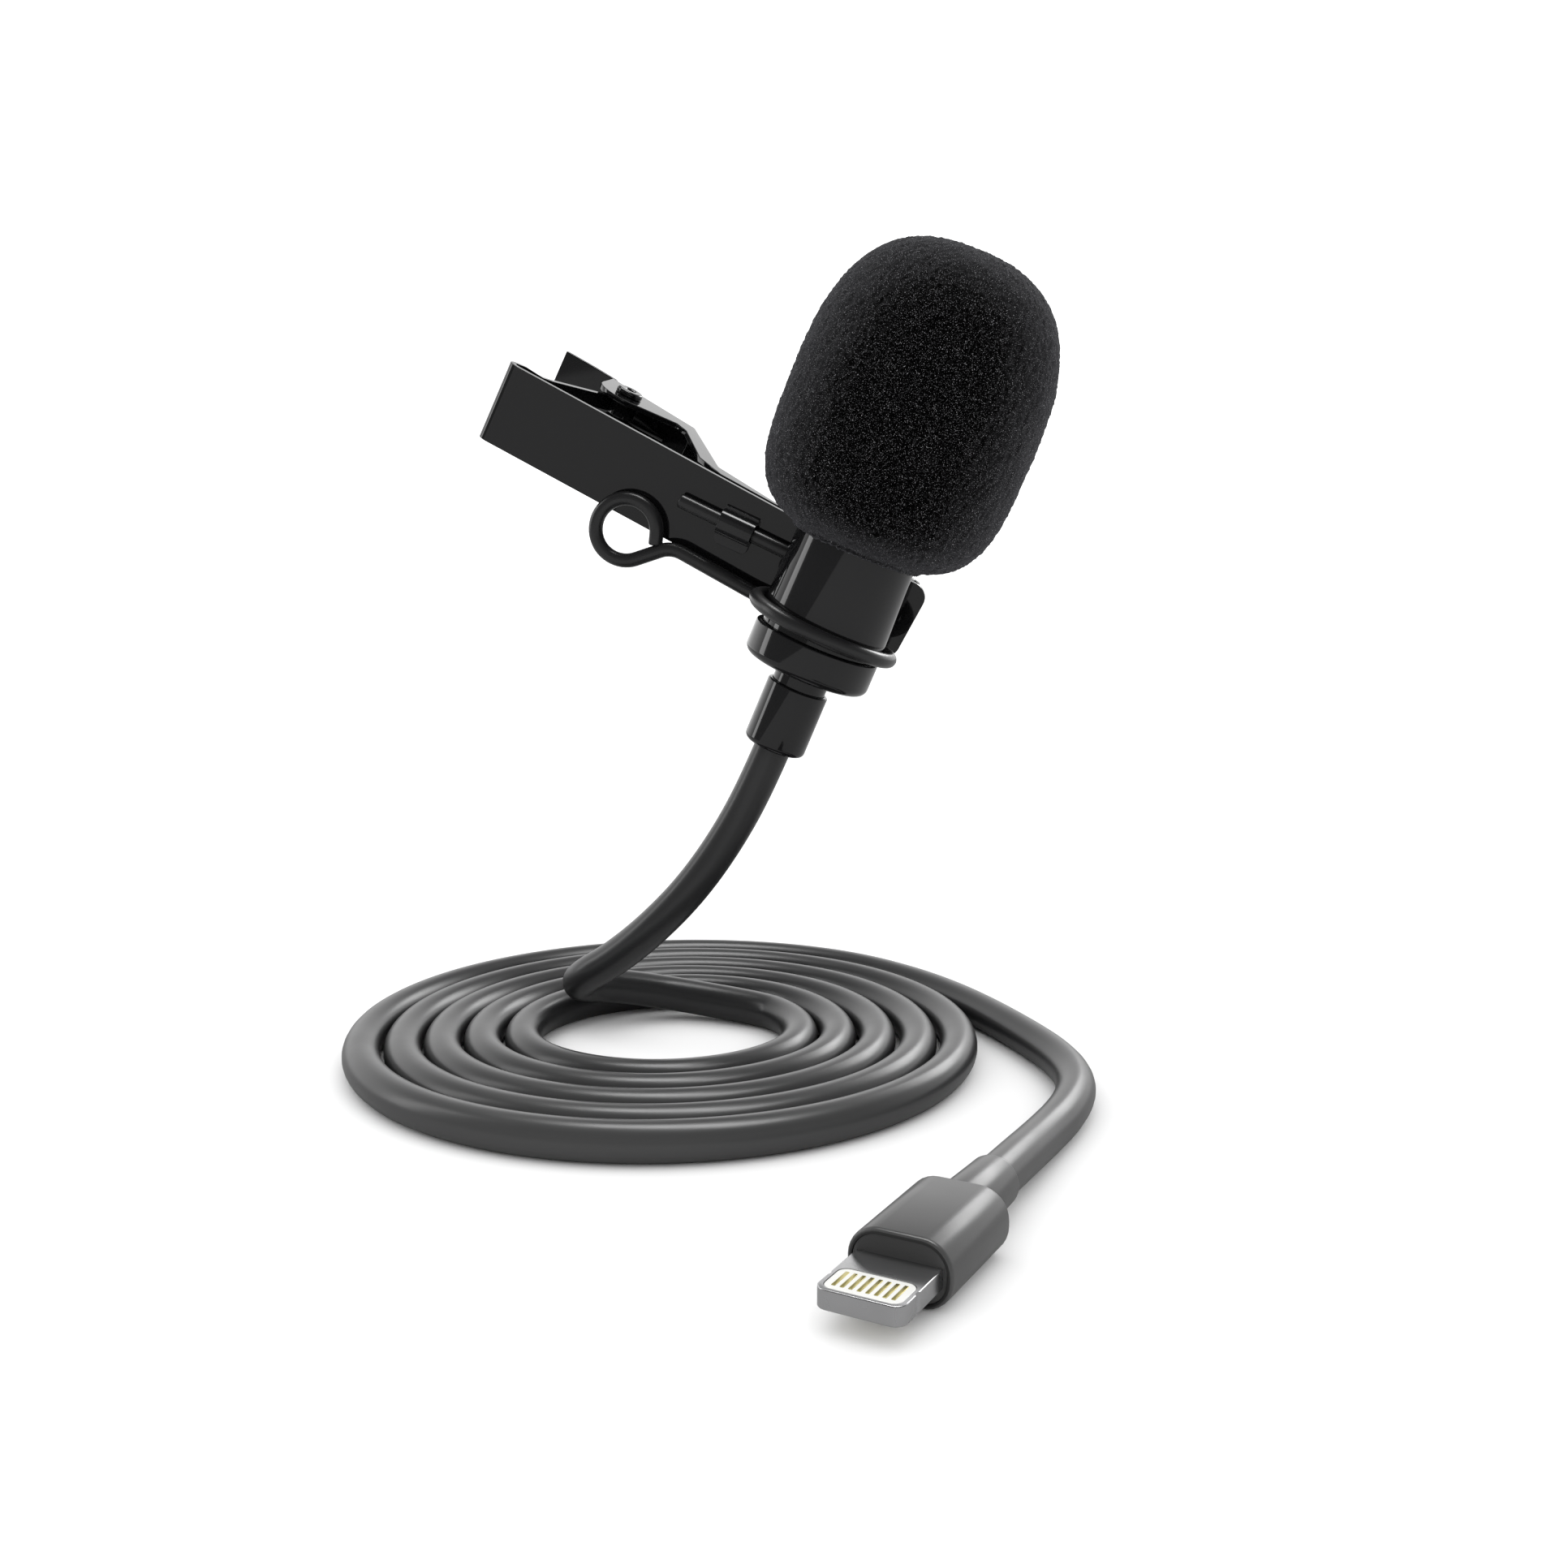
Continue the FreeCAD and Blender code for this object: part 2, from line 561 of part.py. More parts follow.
def plug_face():
    border = 2 * (PLUG_RIM + SLIP)
    body = rounded_bar(PLUG_W - border, PLUG_H - border, PLUG_H * 0.35, 0.15, PLUG_FACE_T)
    window = block((-BLADE_W / 2 - SLIP, BLADE_W / 2 + SLIP), (-1, 2), (-BLADE_T / 2 - SLIP, BLADE_T / 2 + SLIP))
    return body.cut(window)


def plug_boot():
    """Slightly tapered sleeve between the grip and the cord."""
    body = Part.makeCone(BOOT_R, BOOT_END_R, BOOT_L, Vector(0, PLUG_L, 0), AXIS_Y)
    body = round_edges(body, 0.22, lambda e: abs(e.BoundBox.Center.y - PLUG_L - BOOT_L) < 1e-3)
    return body.cut(Part.makeCylinder(CORD_BORE, BOOT_L + 2, Vector(0, PLUG_L - 1, 0), AXIS_Y))


def blade_blank():
    body = block((-BLADE_W / 2, BLADE_W / 2), (-BLADE_L, BLADE_ROOT), (-BLADE_T / 2, BLADE_T / 2))
    body = round_edges(body, 0.95, lambda e: abs(e.BoundBox.Center.y + BLADE_L) < 1e-3
                       and e.BoundBox.ZLength > BLADE_T * 0.9)
    return body


def carrier_pocket(grow):
    """The opening that the white carrier fills, right through the blade."""
    near = -BLADE_L + CARRIER_INSET
    body = block((-CARRIER_W / 2 - grow, CARRIER_W / 2 + grow), (near - grow, near + CARRIER_L + grow),
                 (-BLADE_T, BLADE_T))
    return round_edges(body, 0.8, lambda e: e.BoundBox.ZLength > BLADE_T)


def plug_blade():
    """Metal shell of the blade, with a latch notch in each side."""
    body = blade_blank().cut(carrier_pocket(0))
    for side in (-1, 1):
        at_edge = Vector(side * (BLADE_W / 2 + 0.35), -BLADE_L * 0.62, -BLADE_T)
        notch = Part.makeCylinder(0.5, BLADE_T * 2, at_edge, AXIS_Z)
        body = body.cut(notch)
    half_w, half_t = BLADE_W / 2 - 0.9, BLADE_T / 2 - 0.3
    return body.cut(block((-half_w, half_w), (0.8, BLADE_ROOT + 1), (-half_t, half_t)))


def contact_slots(side, grow):
    """Eight contact places on one side of the carrier: +1 is the top."""
    middle = -BLADE_L + CARRIER_INSET + CARRIER_L / 2
    slots = []
    for i in range(CONTACT_COUNT):
        x = (i - (CONTACT_COUNT - 1) / 2) * CONTACT_PITCH
        z_low, z_high = sorted((side * (BLADE_T / 2 - 0.3), side * (BLADE_T / 2 + grow)))
        slots.append(block((x - CONTACT_W / 2, x + CONTACT_W / 2), (middle - CONTACT_L / 2, middle + CONTACT_L / 2),
                           (z_low, z_high)))
    return slots


def contact_carrier():
    body = blade_blank().common(carrier_pocket(-0.01))
    for side in (1, -1):
        for slot in contact_slots(side, 1):
            body = body.cut(slot)
    return body


def plug_board():
    return block((-2.4, 2.4), (1.2, 8.6), (-0.25, 0.25))


def interface_chip():
    return block((-1.5, 1.5), (BLADE_ROOT + 0.4, 7.9), (0.25, 1.15))


def plug_cores():
    """The cord's cores, from its stripped end to pads on the board."""
    stripped_end = PLUG_L - CORD_GRIP
    return Part.makeCompound([Part.makeCylinder(0.35, stripped_end - 8.0, Vector(x, 8.0, 0.25 + 0.35), AXIS_Y)
                              for x in (-0.9, 0.9)])


# ---- cord ----------------------------------------------------------------------------------
CORD_START = COLLAR_TOP + 2.0               # stripped end of the jacket, inside the collar
CORD_Z = FLOOR_Z + CORD_D / 2
JACKET_JOIN = -10.1                         # level inside the sleeve where the hanging cord begins
COIL_END_TURN = 54                          # degrees, where the cord leaves the coil's outside
COIL_START_TURN = 29                        # degrees, where it enters the coil's inside


def coil_point(radius, degrees, z=CORD_Z):
    """Point round the coil's centre, from +Y towards +X."""
    angle = math.radians(degrees)
    return Vector(COIL_X + radius * math.sin(angle), COIL_Y + radius * math.cos(angle), z)


def coil_edge(start_r, start_degrees):
    """One turn of a spiral edge, closed by its step."""
    count = 12
    points = [coil_point(start_r + CORD_PITCH * i / count, start_degrees + 360 * i / count, FLOOR_Z)
              for i in range(count + 1)]
    curve = Part.BSplineCurve()
    curve.interpolate(points)
    step = Part.LineSegment(points[-1], points[0])
    return Part.Face(Part.Wire([curve.toShape(), step.toShape()]))


def cable_coil():
    """The coil's outer shape: a flat spiral ring, one cord thick."""
    outer = coil_edge(COIL_LAST_R - CORD_PITCH + CORD_D / 2, COIL_END_TURN)
    inner = coil_edge(COIL_FIRST_R - CORD_D / 2, COIL_START_TURN)
    return outer.cut(inner).extrude(Vector(0, 0, CORD_D))


def mic_point(level):
    return MIC.multVec(Vector(0, 0, level))


def plug_point(y):
    return PLUG.multVec(Vector(0, y, 0))


def lying(x, y):
    return Vector(x, y, CORD_Z)


# The cord hangs in a shallow curve, folds where it lands on the coil, and runs round inside it.
DROP = [mic_point(JACKET_JOIN), mic_point(-16.9), Vector(-11.1, -6.4, -25.4), Vector(-15.0, -6.4, -31.0),
        Vector(-19.5, -5.4, -35.8), Vector(-23.8, -3.2, -39.6), Vector(-27.0, -1.7, -41.7),
        Vector(-27.7, 0.9, -43.5), Vector(-26.3, 3.7, -44.5), Vector(-22.6, 5.2, -45.2),
        Vector(-16.9, 6.4, -46.4), coil_point(COIL_FIRST_R, COIL_START_TURN)]
LEAD = [coil_point(COIL_LAST_R, COIL_END_TURN), lying(15.3, 5.0), lying(19.7, -6.0), lying(22.4, -15.0),
        lying(22.6, -22.6), lying(20.4, -29.4), lying(17.0, -35.9),
        plug_point(PLUG_L + BOOT_L + 2.6), plug_point(PLUG_L - CORD_GRIP)]

# ---- write every piece ----------------------------------------------------------------------
os.makedirs("parts", exist_ok=True)

save("windscreen_foam", windscreen_foam(), MIC)
save("mic_barrel", mic_barrel(), MIC)
save("front_grille", front_grille(), MIC)
save("grille_felt", rod(BARREL_BORE - 0.3, CAPSULE_TOP, CAPSULE_TOP + FELT_T), MIC)
save("capsule_can", capsule_can(), MIC)
save("capsule_gasket", capsule_gasket(), MIC)
save("preamp_board", preamp_board(), MIC)
save("board_parts", board_parts(), MIC)
save("capsule_wires", capsule_wires(), MIC)
save("cord_cores", cord_cores(), MIC)
save("cord_crimp", cord_crimp(), MIC)
save("base_collar", base_collar(), MIC)
save("strain_relief_sleeve", strain_relief_sleeve(), MIC)
save("cable_jacket_end", rod(CORD_D / 2, JACKET_JOIN, CORD_START), MIC)

save("clip_front_bar", clip_front_bar(), CLIP)
save("clip_lever", clip_lever(), CLIP)
save("hinge_pin", hinge_pin(), CLIP)
save("torsion_spring", torsion_spring(), CLIP)
saddle_at = Placement(Vector(SADDLE_X, -SHEET_T, SADDLE_Z), Rotation(0, 90 - TAIL_SLOPE, 0))
save("swivel_saddle", swivel_saddle(), CLIP.multiply(saddle_at))
save("wire_ring", wire_ring(), MIC)

cord("cable_drop", DROP)
save("cable_coil", cable_coil())
cord("cable_lead", LEAD)

save("plug_overmold", plug_overmold(), PLUG)
save("plug_face", plug_face(), PLUG)
save("plug_boot", plug_boot(), PLUG)
save("plug_blade", plug_blade(), PLUG)
save("contact_carrier", contact_carrier(), PLUG)
save("contacts_top", Part.makeCompound(contact_slots(1, 0)), PLUG)
save("contacts_bottom", Part.makeCompound(contact_slots(-1, 0)), PLUG)
save("plug_board", plug_board(), PLUG)
save("interface_chip", interface_chip(), PLUG)
save("plug_cores", plug_cores(), PLUG)
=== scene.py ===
import json
import math

import bmesh
import bpy
from mathutils import Euler, Matrix, Vector, noise

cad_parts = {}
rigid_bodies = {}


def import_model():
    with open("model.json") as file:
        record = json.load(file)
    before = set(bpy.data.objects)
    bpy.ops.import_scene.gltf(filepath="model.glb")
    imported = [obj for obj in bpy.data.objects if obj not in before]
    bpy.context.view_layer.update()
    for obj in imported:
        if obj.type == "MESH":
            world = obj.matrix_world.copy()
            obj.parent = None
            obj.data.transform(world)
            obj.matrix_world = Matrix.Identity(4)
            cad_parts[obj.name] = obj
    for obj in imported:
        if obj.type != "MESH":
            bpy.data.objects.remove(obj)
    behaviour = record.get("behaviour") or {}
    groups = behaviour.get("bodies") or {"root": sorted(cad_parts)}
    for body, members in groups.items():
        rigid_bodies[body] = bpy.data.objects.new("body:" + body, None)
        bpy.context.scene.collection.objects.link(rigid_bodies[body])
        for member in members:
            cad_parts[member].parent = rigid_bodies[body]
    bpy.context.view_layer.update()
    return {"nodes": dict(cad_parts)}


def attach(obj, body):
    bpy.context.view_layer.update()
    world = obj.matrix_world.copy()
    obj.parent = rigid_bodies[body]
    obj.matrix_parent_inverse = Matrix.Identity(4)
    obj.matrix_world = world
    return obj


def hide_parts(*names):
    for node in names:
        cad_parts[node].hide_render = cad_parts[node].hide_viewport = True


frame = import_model()

# Lengths below are millimetres in each group's own frame, as in the part's source; `place`
# turns them into metres in the shared frame.
MM = 0.001
FLOOR_Z = -48.8
CORD_D = 3.8


def slant(yaw, pitch, roll):
    """Turn that is yaw about Z, after pitch about Y, after roll about X."""
    return Euler([math.radians(a) for a in (roll, pitch, yaw)], "XYZ").to_matrix().to_4x4()


WIRE_R = 0.75
RING_R = 7.34
SHEET = 0.6
WIRE_GAP = 0.02          # between the wire's tail and the clip bar
TAIL_X, TAIL_Y = -12.7, 4.75    # where the tail crosses the saddle, in the ring's own frame
SADDLE_X, SADDLE_Z = -12.0, 0.62
SLEEVE_END = -13.5
CORD_BORE_R = 1.96       # the bore in collar, neck and sleeve
BOOT_BORE_R = 1.93
CLIP = slant(-4.6, 28.2, 11.4)
TAIL_AT = CLIP @ Vector((SADDLE_X, -SHEET - WIRE_R - WIRE_GAP, SADDLE_Z))
MIC_TURN = slant(-3.6, 22.7, 4.3) @ Matrix.Rotation(math.radians(-1.64), 4, "Z")
MIC = Matrix.Translation(TAIL_AT - MIC_TURN @ Vector((TAIL_X, RING_R, TAIL_Y))) @ MIC_TURN
PLUG = Matrix.Translation((2.5, -63.4, FLOOR_Z + 2.65)) @ slant(-28.8, 0, 0)


# ---- shapes ----------------------------------------------------------------------------------


def rounded(points, radii, closed=False, steps=6):
    """Corner points to a line whose corners are arcs of the given radii."""
    points = [Vector(p).to_3d() for p in points]
    if isinstance(radii, (int, float)):
        radii = [radii] * len(points)
    line = []
    for i, here in enumerate(points):
        if not closed and i in (0, len(points) - 1) or radii[i] == 0:
            line.append(here)
            continue
        back = (points[i - 1] - here).normalized()
        ahead = (points[(i + 1) % len(points)] - here).normalized()
        turn = math.pi - back.angle(ahead)
        if turn < 0.02:
            line.append(here)
            continue
        reach = radii[i] * math.tan(turn / 2)
        centre = here + (back + ahead).normalized() * radii[i] / math.cos(turn / 2)
        first = here + back * reach - centre
        axis = (-back).cross(ahead).normalized()
        count = max(2, int(steps * turn / (math.pi / 2)) + 1)
        for k in range(count + 1):
            line.append(centre + Matrix.Rotation(turn * k / count, 3, axis) @ first)
    return line


def skin(bm, loops, join_ends=False):
    """Quads between one loop of points and the next."""
    rows = [[bm.verts.new(p) for p in loop] for loop in loops]
    pairs = list(zip(rows, rows[1:]))
    if join_ends:
        pairs.append((rows[-1], rows[0]))
    for a, b in pairs:
        for i in range(len(a)):
            j = (i + 1) % len(a)
            bm.faces.new((a[i], a[j], b[j], b[i]))
    return rows


def lathe(profile, segments=128, ring=False):
    """Solid of revolution about Z from (radius, height) points; ring joins its last to its first."""
    bm = bmesh.new()
    loops = []
    for p in profile:
        r = max(p[0], 1e-4)
        loops.append([(r * math.cos(a), r * math.sin(a), p[1])
                      for a in (2 * math.pi * i / segments for i in range(segments))])
    skin(bm, loops, join_ends=ring)
    bmesh.ops.remove_doubles(bm, verts=bm.verts, dist=5e-4)
    return bm


def sweep(line, radius, sides=20):
    """Round bar along a line, with softly rounded ends."""
    bm = bmesh.new()
    tangent = (line[1] - line[0]).normalized()
    side = tangent.orthogonal().normalized()
    loops = []
    for i, p in enumerate(line):
        a = line[max(i - 1, 0)]
        b = line[min(i + 1, len(line) - 1)]
        new = (b - a).normalized()
        side = (tangent.rotation_difference(new) @ side).normalized()
        tangent = new
        up = tangent.cross(side)
        rings = [(1.0, 0.0)]
        if i == 0:
            rings = [(0.02, 0.0), (0.6, 0.0), (0.86, 0.06), (0.97, 0.2), (1.0, 0.4)]
        elif i == len(line) - 1:
            rings = [(1.0, -0.4), (0.97, -0.2), (0.86, -0.06), (0.6, 0.0), (0.02, 0.0)]
        for scale, along in rings:
            centre = p + tangent * along * radius
            loops.append([centre + (side * math.cos(t) + up * math.sin(t)) * radius * scale
                          for t in (2 * math.pi * k / sides for k in range(sides))])
    rows = skin(bm, loops)
    bm.faces.new(rows[0][::-1])
    bm.faces.new(rows[-1])
    return bm


def strip(line, widths, thickness):
    """Bent sheet: a line in x and y, a (low, high) width in z at each of its points."""
    bm = bmesh.new()
    loops = []
    for i, p in enumerate(line):
        a = line[max(i - 1, 0)]
        b = line[min(i + 1, len(line) - 1)]
        along = (b - a).normalized()
        out = Vector((-along.y, along.x, 0)) * thickness / 2
        low, high = widths[i]
        loops.append([Vector((q.x, q.y, z)) for q, z in
                      ((p + out, low), (p + out, high), (p - out, high), (p - out, low))])
    rows = skin(bm, loops)
    bm.faces.new(rows[0][::-1])
    bm.faces.new(rows[-1])
    return bm


def prism(outline, low, high):
    """Flat outline in x and y raised from low to high."""
    bm = bmesh.new()
    rows = skin(bm, [[(p[0], p[1], z) for p in outline] for z in (low, high)])
    bm.faces.new(rows[0][::-1])
    bm.faces.new(rows[1])
    return bm


def loft(sections):
    """Closed sections joined in order, with flat ends."""
    bm = bmesh.new()
    rows = skin(bm, sections)
    bm.faces.new(rows[0][::-1])
    bm.faces.new(rows[-1])
    return bm


def turned(bm, matrix):
    bmesh.ops.transform(bm, matrix=matrix, verts=bm.verts)
    return bm


def together(first, *others):
    """Adds other meshes to the first as loose shells."""
    for other in others:
        spare = bpy.data.meshes.new("spare")
        other.to_mesh(spare)
        first.from_mesh(spare)
        bpy.data.meshes.remove(spare)
        other.free()
    return first


def mesh_object(name, bm, place):
    bmesh.ops.recalc_face_normals(bm, faces=bm.faces)
    bmesh.ops.transform(bm, matrix=Matrix.Scale(MM, 4) @ place, verts=bm.verts)
    mesh = bpy.data.meshes.new(name)
    bm.to_mesh(mesh)
    bm.free()
    obj = bpy.data.objects.new(name, mesh)
    bpy.context.scene.collection.objects.link(obj)
    return obj


def apply_modifiers(obj):
    """Bakes an object's modifiers into its mesh."""
    result = bpy.data.meshes.new_from_object(obj.evaluated_get(bpy.context.evaluated_depsgraph_get()))
    obj.modifiers.clear()
    obj.data = result


def carve(obj, cutter):
    """Takes one object's shape out of another."""
    cut = obj.modifiers.new("cut", "BOOLEAN")
    cut.object = cutter
    cut.solver = "EXACT"
    apply_modifiers(obj)
    bpy.data.objects.remove(cutter)


def finish_piece(obj, body, material, nodes=(), bevel=0.0, segments=3, smooth_angle=35):
    """Edges, shading, material, and the body and CAD nodes that the piece stands for."""
    if bevel:
        edge = obj.modifiers.new("edges", "BEVEL")
        edge.width = bevel * MM
        edge.segments = segments
        edge.limit_method = "ANGLE"
        edge.angle_limit = math.radians(32)
        edge.harden_normals = False
        apply_modifiers(obj)
    for face in obj.data.polygons:
        face.use_smooth = True
    obj.data.set_sharp_from_angle(angle=math.radians(smooth_angle))
    if bevel:
        even = obj.modifiers.new("even_shading", "WEIGHTED_NORMAL")
        even.keep_sharp = True
        even.weight = 100
    obj.data.materials.clear()
    obj.data.materials.append(material)
    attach(obj, body)
    if nodes:
        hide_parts(*nodes)
    return obj


# ---- materials -------------------------------------------------------------------------------


def srgb(code):
    """Hex colour to the linear values that Blender takes."""
    values = [int(code[i:i + 2], 16) / 255 for i in (1, 3, 5)]
    return [v / 12.92 if v <= 0.04045 else ((v + 0.055) / 1.055) ** 2.4 for v in values] + [1.0]


class Look:
    """A procedural material, built node by node in millimetre patterns."""

    def __init__(self, name, colour, roughness, metallic=0.0):
        self.material = bpy.data.materials.new(name)
        self.material.use_nodes = True
        self.tree = self.material.node_tree
        self.surface = self.tree.nodes["Principled BSDF"]
        self.surface.inputs["Base Color"].default_value = srgb(colour)
        self.surface.inputs["Roughness"].default_value = roughness
        self.surface.inputs["Metallic"].default_value = metallic
        where = self.add("ShaderNodeTexCoord")
        self.mm = self.add("ShaderNodeVectorMath", operation="SCALE")
        self.mm.inputs["Scale"].default_value = 1000
        self.join(where.outputs["Object"], self.mm.inputs[0])

    def add(self, kind, **settings):
        made = self.tree.nodes.new(kind)
        for key, value in settings.items():
            setattr(made, key, value)
        return made

    def join(self, output, target):
        self.tree.links.new(output, target)

    def noise(self, size, detail=3.0, rough=0.5):
        """Cloudy pattern whose features are about this many millimetres."""
        made = self.add("ShaderNodeTexNoise")
        made.inputs["Scale"].default_value = 1 / size
        made.inputs["Detail"].default_value = detail
        made.inputs["Roughness"].default_value = rough
        self.join(self.mm.outputs[0], made.inputs["Vector"])
        return made.outputs["Fac"]

    def ramp(self, value, low, high, start=0.15, end=0.85):
        """Value to a number or a colour between two ends."""
        if isinstance(low, str):
            made = self.add("ShaderNodeValToRGB")
            for stop, at, colour in zip(made.color_ramp.elements, (start, end), (low, high)):
                stop.position = at
                stop.color = srgb(colour)
            self.join(value, made.inputs["Fac"])
            return made.outputs["Color"]
        made = self.add("ShaderNodeMapRange")
        for key, number in zip(("From Min", "From Max", "To Min", "To Max"), (start, end, low, high)):
            made.inputs[key].default_value = number
        self.join(value, made.inputs["Value"])
        return made.outputs["Result"]

    def colour(self, output):
        self.join(output, self.surface.inputs["Base Color"])
        return self

    def roughness(self, output):
        self.join(output, self.surface.inputs["Roughness"])
        return self

    def bump(self, output, height, strength=1.0):
        """Relief of a real height in millimetres."""
        made = self.add("ShaderNodeBump")
        made.inputs["Distance"].default_value = height * MM
        made.inputs["Strength"].default_value = strength
        self.join(output, made.inputs["Height"])
        self.join(made.outputs["Normal"], self.surface.inputs["Normal"])
        return self


def gloss_black(name, colour="#101011", roughness=0.05):
    """Stoved black enamel: deep and even, with a few duller patches."""
    look = Look(name, colour, roughness)
    look.roughness(look.ramp(look.noise(6, 2), roughness * 0.8, roughness * 1.5))
    return look.material


def satin(name, low, high, roughness):
    """Moulded plastic or rubber with a slight change of tone and gloss."""
    look = Look(name, low, roughness)
    look.colour(look.ramp(look.noise(5, 1), low, high))
    look.roughness(look.ramp(look.noise(4, 1), roughness * 0.9, roughness * 1.1))
    return look.material


def metal(name, low, high, roughness):
    """Metal whose tone and roughness wander a little."""
    look = Look(name, low, roughness, 1.0)
    look.colour(look.ramp(look.noise(4, 1), low, high))
    look.roughness(look.ramp(look.noise(5, 1), roughness * 0.9, roughness * 1.1))
    return look.material


def cord_look():
    """Satin jacket: soft black rubber, its colour painted paler towards the plug as painted light, where
    the lead looks more lit.
    """
    look = Look("cord_jacket", "#262627", 0.3)
    split = look.add("ShaderNodeSeparateXYZ")
    look.join(look.mm.outputs[0], split.inputs[0])
    # Painted light: the colour runs from #202021 at the back to #464646 near the plug, painted lighter
    # where the lead looks more lit.
    look.colour(look.ramp(look.ramp(split.outputs["Y"], 1.0, 0.0, -60, -5), "#202021", "#464646", 0.0, 1.0))
    look.roughness(look.ramp(look.noise(3, 2), 0.29, 0.34))
    return look.material


def circuit(name):
    """Solder mask over copper tracks."""
    look = Look(name, "#15402a", 0.35)
    tracks = look.add("ShaderNodeTexBrick")
    tracks.inputs["Scale"].default_value = 1.0
    tracks.inputs["Mortar Size"].default_value = 0.06
    for key, code in zip(("Color1", "Color2", "Mortar"), ("#123a26", "#16442c", "#2f6b3c")):
        tracks.inputs[key].default_value = srgb(code)
    look.join(look.mm.outputs[0], tracks.inputs["Vector"])
    look.colour(tracks.outputs["Color"])
    look.bump(tracks.outputs["Fac"], 0.02, 0.6)
    return look.material


def foam_look():
    """Open-cell foam: near-black pores between grey strands, a few of which catch the light; its edges,
    where the surface turns from view, are painted lighter as a painted sheen.
    """
    look = Look("foam", "#0c0c0d", 0.9)
    fleck = look.noise(0.075, 1, 0.6)
    strands = look.ramp(fleck, "#000000", "#c4c4c8", 0.64, 0.82)
    # Painted sheen: where the surface turns away from view, grey is added to the colour, lighter towards
    # the edges.
    facing = look.add("ShaderNodeLayerWeight")
    facing.inputs["Blend"].default_value = 0.35
    painted_rim_sheen = look.add("ShaderNodeMix", data_type="RGBA", blend_type="ADD")
    look.join(look.ramp(facing.outputs["Facing"], 0.0, 1.0, 0.12, 1.0), painted_rim_sheen.inputs["Factor"])
    look.join(strands, painted_rim_sheen.inputs["A"])
    painted_rim_sheen.inputs["B"].default_value = srgb("#48484b")
    look.colour(painted_rim_sheen.outputs["Result"])
    relief = look.add("ShaderNodeMath", operation="ADD")
    look.join(fleck, relief.inputs[0])
    look.join(look.noise(0.4, 3, 0.7), relief.inputs[1])
    look.bump(relief.outputs[0], 0.12, 0.8)
    look.surface.inputs["Specular IOR Level"].default_value = 0.05
    return look.material


BLACK = gloss_black("gloss_black")
BLACK_SHEET = gloss_black("gloss_black_sheet", "#0c0c0d", 0.04)
BLACK_STRAP = gloss_black("gloss_black_strap", "#161617", 0.13)
BLACK_WIRE = gloss_black("gloss_black_wire", "#19191a", 0.26)
FOAM = foam_look()
JACKET = cord_look()
GRIP = satin("plug_grip", "#3e3e3e", "#424242", 0.3)
GRIP_RIM = satin("plug_rim", "#161616", "#1a1a1a", 0.5)
GRIP_FACE = satin("plug_face_plate", "#363636", "#3a3a3a", 0.5)
STEEL = metal("blade_steel", "#b2b2b3", "#bcbcbd", 0.27)
WHITE = satin("carrier_white", "#dcdcd8", "#e8e8e5", 0.35)
GOLD = metal("contact_gold", "#a79c5e", "#c0b67c", 0.3)
ALUMINIUM = metal("capsule_aluminium", "#b9b9b9", "#d6d6d6", 0.35)
BRASS = metal("brass", "#b08d4a", "#c6a860", 0.32)
COPPER = metal("enamelled_copper", "#8a4a22", "#a8602e", 0.3)
SPRING = metal("spring_wire", "#4c4c4c", "#666666", 0.3)
BOARD = circuit("circuit_board")
CHIP = satin("chip_package", "#161616", "#1e1e1e", 0.5)
CORES = satin("core_insulation", "#b9b9b2", "#cfcfc8", 0.45)
FELT = satin("felt", "#1a1a1a", "#262626", 0.95)
GASKET = satin("gasket_rubber", "#141414", "#1c1c1c", 0.6)

# ---- camera ----------------------------------------------------------------------------------
camera = bpy.data.objects.new("camera", bpy.data.cameras.new("camera"))
camera.data.lens = 36.93
camera.data.sensor_width = 36
camera.data.clip_start = 0.005
camera.location = Vector((-5.54, -170.2, 4.27)) * MM
camera.rotation_euler = (math.radians(81.52), 0, 0)
bpy.context.scene.collection.objects.link(camera)
bpy.context.scene.camera = camera

# ---- cord ------------------------------------------------------------------------------------
# One length of satin rubber-jacketed cord, 0.87 m: it leaves the sleeve along the barrel's axis,
# hangs in a shallow curve, folds where it lands on the coil, winds outwards in five flat turns and
# runs to the plug.  A single NURBS spline, a round section.
COIL_AT = Vector((-17.4, -6.0, FLOOR_Z + CORD_D / 2))
TURN_POINTS = 20
FIRST_R, LAST_R = 12.8, 33.7


def coil_points():
    """Control points of the flat coil, from its inside to its outside."""
    grow = 1 / math.cos(math.pi / TURN_POINTS)
    start, end = 29 / 360, 54 / 360 + 5
    count = int((end - start) * TURN_POINTS)
    for i in range(1, count):
        turn = start + (end - start) * i / count
        r = FIRST_R + (LAST_R - FIRST_R) * (turn - start) / (end - start)
        r = (r + 0.12 * math.sin(2.4 * turn * math.pi + 1)) * grow
        yield COIL_AT + Vector((r * math.sin(2 * math.pi * turn), r * math.cos(2 * math.pi * turn), 0))


def lying(x, y):
    return Vector((x, y, COIL_AT.z))


